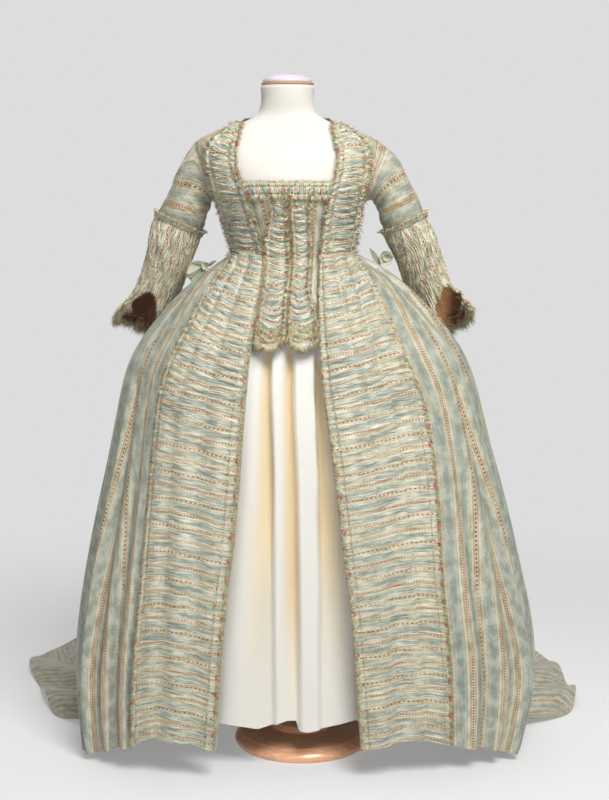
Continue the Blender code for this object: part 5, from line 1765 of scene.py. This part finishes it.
# How far the hem rises in front: it steps down where the middle pleat starts.
PETTICOAT_HEM = Table("""
    x rise
    -0.230 0.004
    -0.140 0.0176
    -0.066 0.005
    -0.004 0.0238
    0.0195 0.0218
    0.0210 0.003
    0.042 0.000
    0.077 0.0072
    0.143 0.0238
    0.230 0.006
""")
PETTICOAT_FINER = 4.0  # how much closer together its columns are in front
# The front's pressed pleats. Each has a crisp edge, from one place across it at its top to another
# at its foot, and a hollow that is deepest at the edge and rises softly on one side of it: left is -1.
PETTICOAT_FOLDS = Table("""
    edge foot_edge top foot side width foot_width depth
    0.0150 0.0210 0.950 0.020 -1 0.010 0.034 0.030
    -0.0310 -0.0330 0.925 0.400 -1 0.007 0.042 0.026
    0.0640 0.0680 0.915 0.400 1 0.007 0.040 0.026
""")
PETTICOAT_SHADE_DEPTH = 0.024  # how deep a fold is where its painted shade is darkest
PETTICOAT_FLAT = 0.62  # how far out the front lies between its folds, as a share of a pleat
# Soft long hollows lower down: where, from which height to which, how wide and how deep.
PETTICOAT_HOLLOWS = [
    (-0.078, 0.60, 0.05, 0.030, 0.010),
    (0.118, 0.62, 0.05, 0.032, 0.012),
    (-0.150, 0.80, 0.05, 0.030, 0.014),
]


def petticoat_turns(columns, closer):
    """Degrees round the petticoat for even steps along its ring, closer together in front."""
    degrees = np.linspace(0, 360, 1441)
    x, y = ring(degrees, *PETTICOAT.rows[3, 1:], FRONT_SQUARENESS)
    step = np.hypot(np.diff(x), np.diff(y)) * np.where(y[:-1] < -0.05, closer, 1.0)
    along = np.concatenate([[0], np.cumsum(step)]) / step.sum()
    return np.interp(np.linspace(0, 1, columns + 1)[:-1], along, degrees), np.interp(degrees, degrees, along)


def petticoat_folds(x, z):
    """How deep the pressed pleats and soft hollows of the front are."""
    depth = 0.0
    for edge, foot_edge, top, foot, side, width, foot_width, deep in PETTICOAT_FOLDS.rows:
        t = np.clip((top - z) / (top - foot), 0, 1)
        away = (x - edge - (foot_edge - edge) * t) * side
        wide = width + (foot_width - width) * t**0.7
        hollow = np.exp(-((np.maximum(away, 0) / wide) ** 2)) * smoothstep(-0.0045, 0.0, away)
        depth = depth + deep * hollow * smoothstep(0.0, 0.10, t) * (1 - 0.6 * smoothstep(0.55, 1.0, t))
    for place, top, foot, width, deep in PETTICOAT_HOLLOWS:
        t = np.clip((top - z) / (top - foot), 0, 1)
        hollow = np.exp(-(((x - place * (0.7 + 0.5 * t)) / width) ** 2))
        depth = depth + deep * hollow * np.sin(math.pi * t) ** 0.7
    return depth


def build_petticoat(rows=72, columns=230):
    """The ivory petticoat: a closed ring of soft pleats, with pressed ones where the gown is open."""
    degrees, _ = petticoat_turns(columns, PETTICOAT_FINER)
    _, along = petticoat_turns(columns, PETTICOAT_FRONT)
    place = np.interp(degrees, np.linspace(0, 360, len(along)), along)[None, :]
    degrees = degrees[None, :]
    down = downwards(rows) ** 1.3
    top, hem = PETTICOAT.rows[-1, 0], PETTICOAT.rows[0, 0]
    z = top + (hem - top) * down
    x, y = ring(degrees, *section(PETTICOAT, z), FRONT_SQUARENESS)
    z = z + np.interp(x, *PETTICOAT_HEM.rows.T) * smoothstep(0.0, -0.10, y) * smoothstep(0.5, 1.0, down)
    grid = stack(x, y, z)
    turn = TURN * place * PETTICOAT_PLEATS
    pleats = 0.5 + 0.5 * np.cos(turn + 0.5 * np.sin(4 * math.pi * place + 3 * down))
    front = smoothstep(0.19, 0.13, np.abs(x)) * (y < 0)
    pleats = pleats * (1 - front) + PETTICOAT_FLAT * front
    folds = petticoat_folds(x, z) * (y < 0)
    out = PETTICOAT_PLEAT_DEPTH * pleats * smoothstep(0.0, 0.35, down) + 0.004 * front - folds
    grid = grid + ring_normals(grid) * out[..., None]
    flat = stack(arc(looped(grid), 1), looped(arc(grid, 0)[..., None])[..., 0])
    piece = make_cloth("petticoat_silk", grid, flat, ("petticoat",), finish="ivory", closed=True)
    # Painted shade in the front's folds, half as strong near the hem.
    low_down = 0.5 + 0.5 * smoothstep(0.15, 0.60, z)
    mark_fold_shade(piece, np.clip(folds / PETTICOAT_SHADE_DEPTH, 0, 1) * low_down)


# ---- stage -----------------------------------------------------------------------------------
CAMERA = {"at": (0.006, -3.4, 1.25), "down": 7.86, "lens": 69.93}
BACKGROUND = linear(221, 221, 221)
AMBIENT = 0.20  # share of the background's light that comes from all round
LIGHTS = [
    ("key", (0.9, -2.7, 3.6), 2.0, 228.0),
    ("fill", (-1.8, -3.4, 1.4), 2.4, 14.0),
    ("top", (-0.3, 0.8, 3.6), 1.8, 26.0),
    ("low", (0.1, -2.9, 0.30), 0.9, 5.0),
]
FLOOR_GLOW = 0.36  # least share of the floor that is the background's own light
BACKDROP = {"y": 9.0, "half_width": 9.0, "radius": 8.8, "top": 9.0}


def floor_material():
    """A pale floor that turns into the background with distance."""
    shader = Shader("studio_floor", Roughness=0.9, Specular_IOR_Level=0.2)
    _, x, y, _ = shader.place()
    shader.colour(linear(224, 224, 224))
    away = (x * x + y * y).math("SQRT").step(0.75, 2.4) * (1.0 - FLOOR_GLOW) + FLOOR_GLOW
    glow = shader.new("ShaderNodeEmission")
    glow.inputs["Color"].default_value = BACKGROUND
    blend = shader.new("ShaderNodeMixShader")
    shader.feed(blend.inputs[0], away)
    shader.tree.links.new(shader.surface.outputs[0], blend.inputs[1])
    shader.tree.links.new(glow.outputs[0], blend.inputs[2])
    output = next(node for node in shader.tree.nodes if node.type == "OUTPUT_MATERIAL")
    shader.tree.links.new(blend.outputs[0], output.inputs["Surface"])
    return shader.material


def glowing_material():
    """The backdrop gives off the background's own light."""
    shader = Shader("backdrop", Base_Color=(0.0, 0.0, 0.0, 1.0), Specular_IOR_Level=0.0,
                    Emission_Color=BACKGROUND, Emission_Strength=1.0)
    return shader.material


def stage_piece(name, points, faces, material):
    """Adds a mesh that belongs to the studio and not to the part."""
    piece = linked(name, mesh_of(name, points.reshape(-1, 3), faces))
    piece.data.materials.append(material)
    return piece


def build_stage():
    """A plain floor, soft lights, a backdrop and the camera."""
    turn = np.linspace(0, TURN, 65)[:-1]
    radius = np.array([0.0, 1.0, 4.0, 30.0])[:, None]
    floor = stack(radius * np.cos(turn), radius * np.sin(turn), 0 * radius)
    stage_piece("studio_floor", floor, grid_faces(4, 64, True), floor_material())
    for name, at, size, power in LIGHTS:
        light = bpy.data.lights.new(name, "AREA")
        light.shape = "DISK"
        light.size = size
        light.energy = power
        lamp = linked(name, light)
        lamp.location = at
        lamp.rotation_euler = (Vector((0, 0.1, 0.75)) - Vector(at)).to_track_quat("-Z", "Y").to_euler()
    world = bpy.data.worlds.new("studio")
    world.use_nodes = True
    world.node_tree.nodes["Background"].inputs["Color"].default_value = BACKGROUND
    world.node_tree.nodes["Background"].inputs["Strength"].default_value = AMBIENT
    wide, y, top = BACKDROP["half_width"], BACKDROP["y"], BACKDROP["top"]
    corners = np.array([(-wide, y, 0.0), (wide, y, 0.0), (wide, y, top), (-wide, y, top)])
    glowing = glowing_material()
    stage_piece("backdrop", corners, np.array([[0, 1, 2, 3]]), glowing)
    # A round one before it, which only the camera sees, so that every side has the same background.
    reach = BACKDROP["radius"]
    circle = stack(reach * np.cos(turn), reach * np.sin(turn), np.array([[0.0], [top]]))
    round_wall = stage_piece("round_backdrop", circle, grid_faces(2, 64, True), glowing)
    for ray in ("diffuse", "glossy", "transmission", "shadow"):
        setattr(round_wall, f"visible_{ray}", False)
    bpy.context.scene.world = world
    camera = linked("camera", bpy.data.cameras.new("camera"))
    camera.data.lens = CAMERA["lens"]
    camera.location = CAMERA["at"]
    camera.rotation_euler = (math.radians(90 - CAMERA["down"]), 0, 0)
    bpy.context.scene.camera = camera
    bpy.context.scene.view_settings.view_transform = "Standard"


# ---- add-on ----------------------------------------------------------------------------------
class RobeClothSettings(bpy.types.PropertyGroup):
    tuft_spacing: FloatProperty(
        name="Tuft spacing", description="Distance between two tufts of the fringe",
        default=0.0046, min=0.003, max=0.02, precision=4, unit="LENGTH", subtype="DISTANCE")
    tuft_length: FloatProperty(
        name="Tuft length", description="Length of the longest strands of a tuft",
        default=0.0100, min=0.003, max=0.02, precision=4, unit="LENGTH", subtype="DISTANCE")
    tuft_strands: IntProperty(
        name="Strands", description="Strands in each tuft", default=9, min=3, max=16)
    ridge_depth: FloatProperty(
        name="Ridge depth", description="How deep the gathers of the trimmings are, 1 as sewn",
        default=1.0, min=0.3, max=1.5, subtype="FACTOR")


def colour_property(name, description, red, green, blue):
    """A colour that a user can change, from its screen colour of 0 to 255."""
    return FloatVectorProperty(name=name, description=description, subtype="COLOR",
                               default=linear(red, green, blue)[:3], min=0.0, max=1.0)


class RobeColourSettings(bpy.types.PropertyGroup):
    fading: FloatProperty(
        name="Fading", description="How unevenly the striped silk has faded",
        default=0.5, min=0.0, max=1.0, subtype="FACTOR")
    crumple: FloatProperty(
        name="Crumple", description="Strength of the fine creases in the silk",
        default=0.5, min=0.0, max=1.0, subtype="FACTOR")
    petticoat: colour_property("Petticoat", "Colour of the petticoat's silk", 207, 205, 200)
    ribbon: colour_property("Ribbon", "Colour of the two bows", 122, 126, 104)
    cover: colour_property("Cover", "Colour of the form's cloth cover", 202, 198, 190)
    wood: colour_property("Wood", "Colour of the stand's stained wood", 238, 178, 138)


class RobeOperator(bpy.types.Operator):
    """Base of the gown's operators: makes the finishes, then runs its own builders."""

    bl_options = {"REGISTER", "UNDO"}
    builders = ()

    def execute(self, context):
        make_materials()
        for build in self.builders:
            build()
        return {"FINISHED"}


class ROBE_OT_form(RobeOperator):
    """Build the covered form, its cap and its turned stand"""

    bl_idname = "robe.form"
    bl_label = "Form"
    builders = (build_form,)


class ROBE_OT_bodice(RobeOperator):
    """Build the bodice's fronts, robings and side-backs"""

    bl_idname = "robe.bodice"
    bl_label = "Bodice"
    builders = (build_bodice,)


class ROBE_OT_stomacher(RobeOperator):
    """Build the stomacher, its gathered strips and its band"""

    bl_idname = "robe.stomacher"
    bl_label = "Stomacher"
    builders = (build_stomacher,)


class ROBE_OT_sleeves(RobeOperator):
    """Build the sleeves, cuffs and frilled headings"""

    bl_idname = "robe.sleeves"
    bl_label = "Sleeves"
    builders = (build_sleeves,)


class ROBE_OT_skirt(RobeOperator):
    """Build the skirt's fronts, trimmings and sides"""

    bl_idname = "robe.skirt"
    bl_label = "Skirt"
    builders = (build_skirt,)


class ROBE_OT_sack(RobeOperator):
    """Build the pleated sack back and the strip round the neck"""

    bl_idname = "robe.sack"
    bl_label = "Sack back"
    builders = (build_sack,)


class ROBE_OT_petticoat(RobeOperator):
    """Build the ivory petticoat"""

    bl_idname = "robe.petticoat"
    bl_label = "Petticoat"
    builders = (build_petticoat,)


class ROBE_OT_bows(RobeOperator):
    """Build the two ribbon bows"""

    bl_idname = "robe.bows"
    bl_label = "Bows"
    builders = (build_bows,)


class ROBE_OT_stage(RobeOperator):
    """Build the floor, lights and camera"""

    bl_idname = "robe.stage"
    bl_label = "Stage"
    builders = (build_stage,)


OPERATORS = (
    ROBE_OT_form,
    ROBE_OT_bodice,
    ROBE_OT_stomacher,
    ROBE_OT_sleeves,
    ROBE_OT_skirt,
    ROBE_OT_sack,
    ROBE_OT_petticoat,
    ROBE_OT_bows,
    ROBE_OT_stage,
)


class ROBE_PT_panel(bpy.types.Panel):
    bl_label = "Robe"
    bl_idname = "ROBE_PT_panel"
    bl_space_type = "VIEW_3D"
    bl_region_type = "UI"
    bl_category = "Robe"

    def draw(self, context):
        for group in (context.scene.robe_cloth, context.scene.robe_colours):
            box = self.layout.box()
            for name in group.bl_rna.properties.keys():
                if name not in ("rna_type", "name"):
                    box.prop(group, name)
        for operator in OPERATORS:
            self.layout.operator(operator.bl_idname)


CLASSES = (RobeClothSettings, RobeColourSettings, *OPERATORS, ROBE_PT_panel)


def register():
    for made in CLASSES:
        bpy.utils.register_class(made)
    bpy.types.Scene.robe_cloth = PointerProperty(type=RobeClothSettings)
    bpy.types.Scene.robe_colours = PointerProperty(type=RobeColourSettings)


def unregister():
    del bpy.types.Scene.robe_cloth
    del bpy.types.Scene.robe_colours
    for made in reversed(CLASSES):
        bpy.utils.unregister_class(made)


def main():
    register()
    for operator in OPERATORS:
        group, name = operator.bl_idname.split(".")
        if getattr(getattr(bpy.ops, group), name)() != {"FINISHED"}:
            raise RuntimeError(f"{operator.bl_idname} didn't finish")


if __name__ == "__main__":
    main()
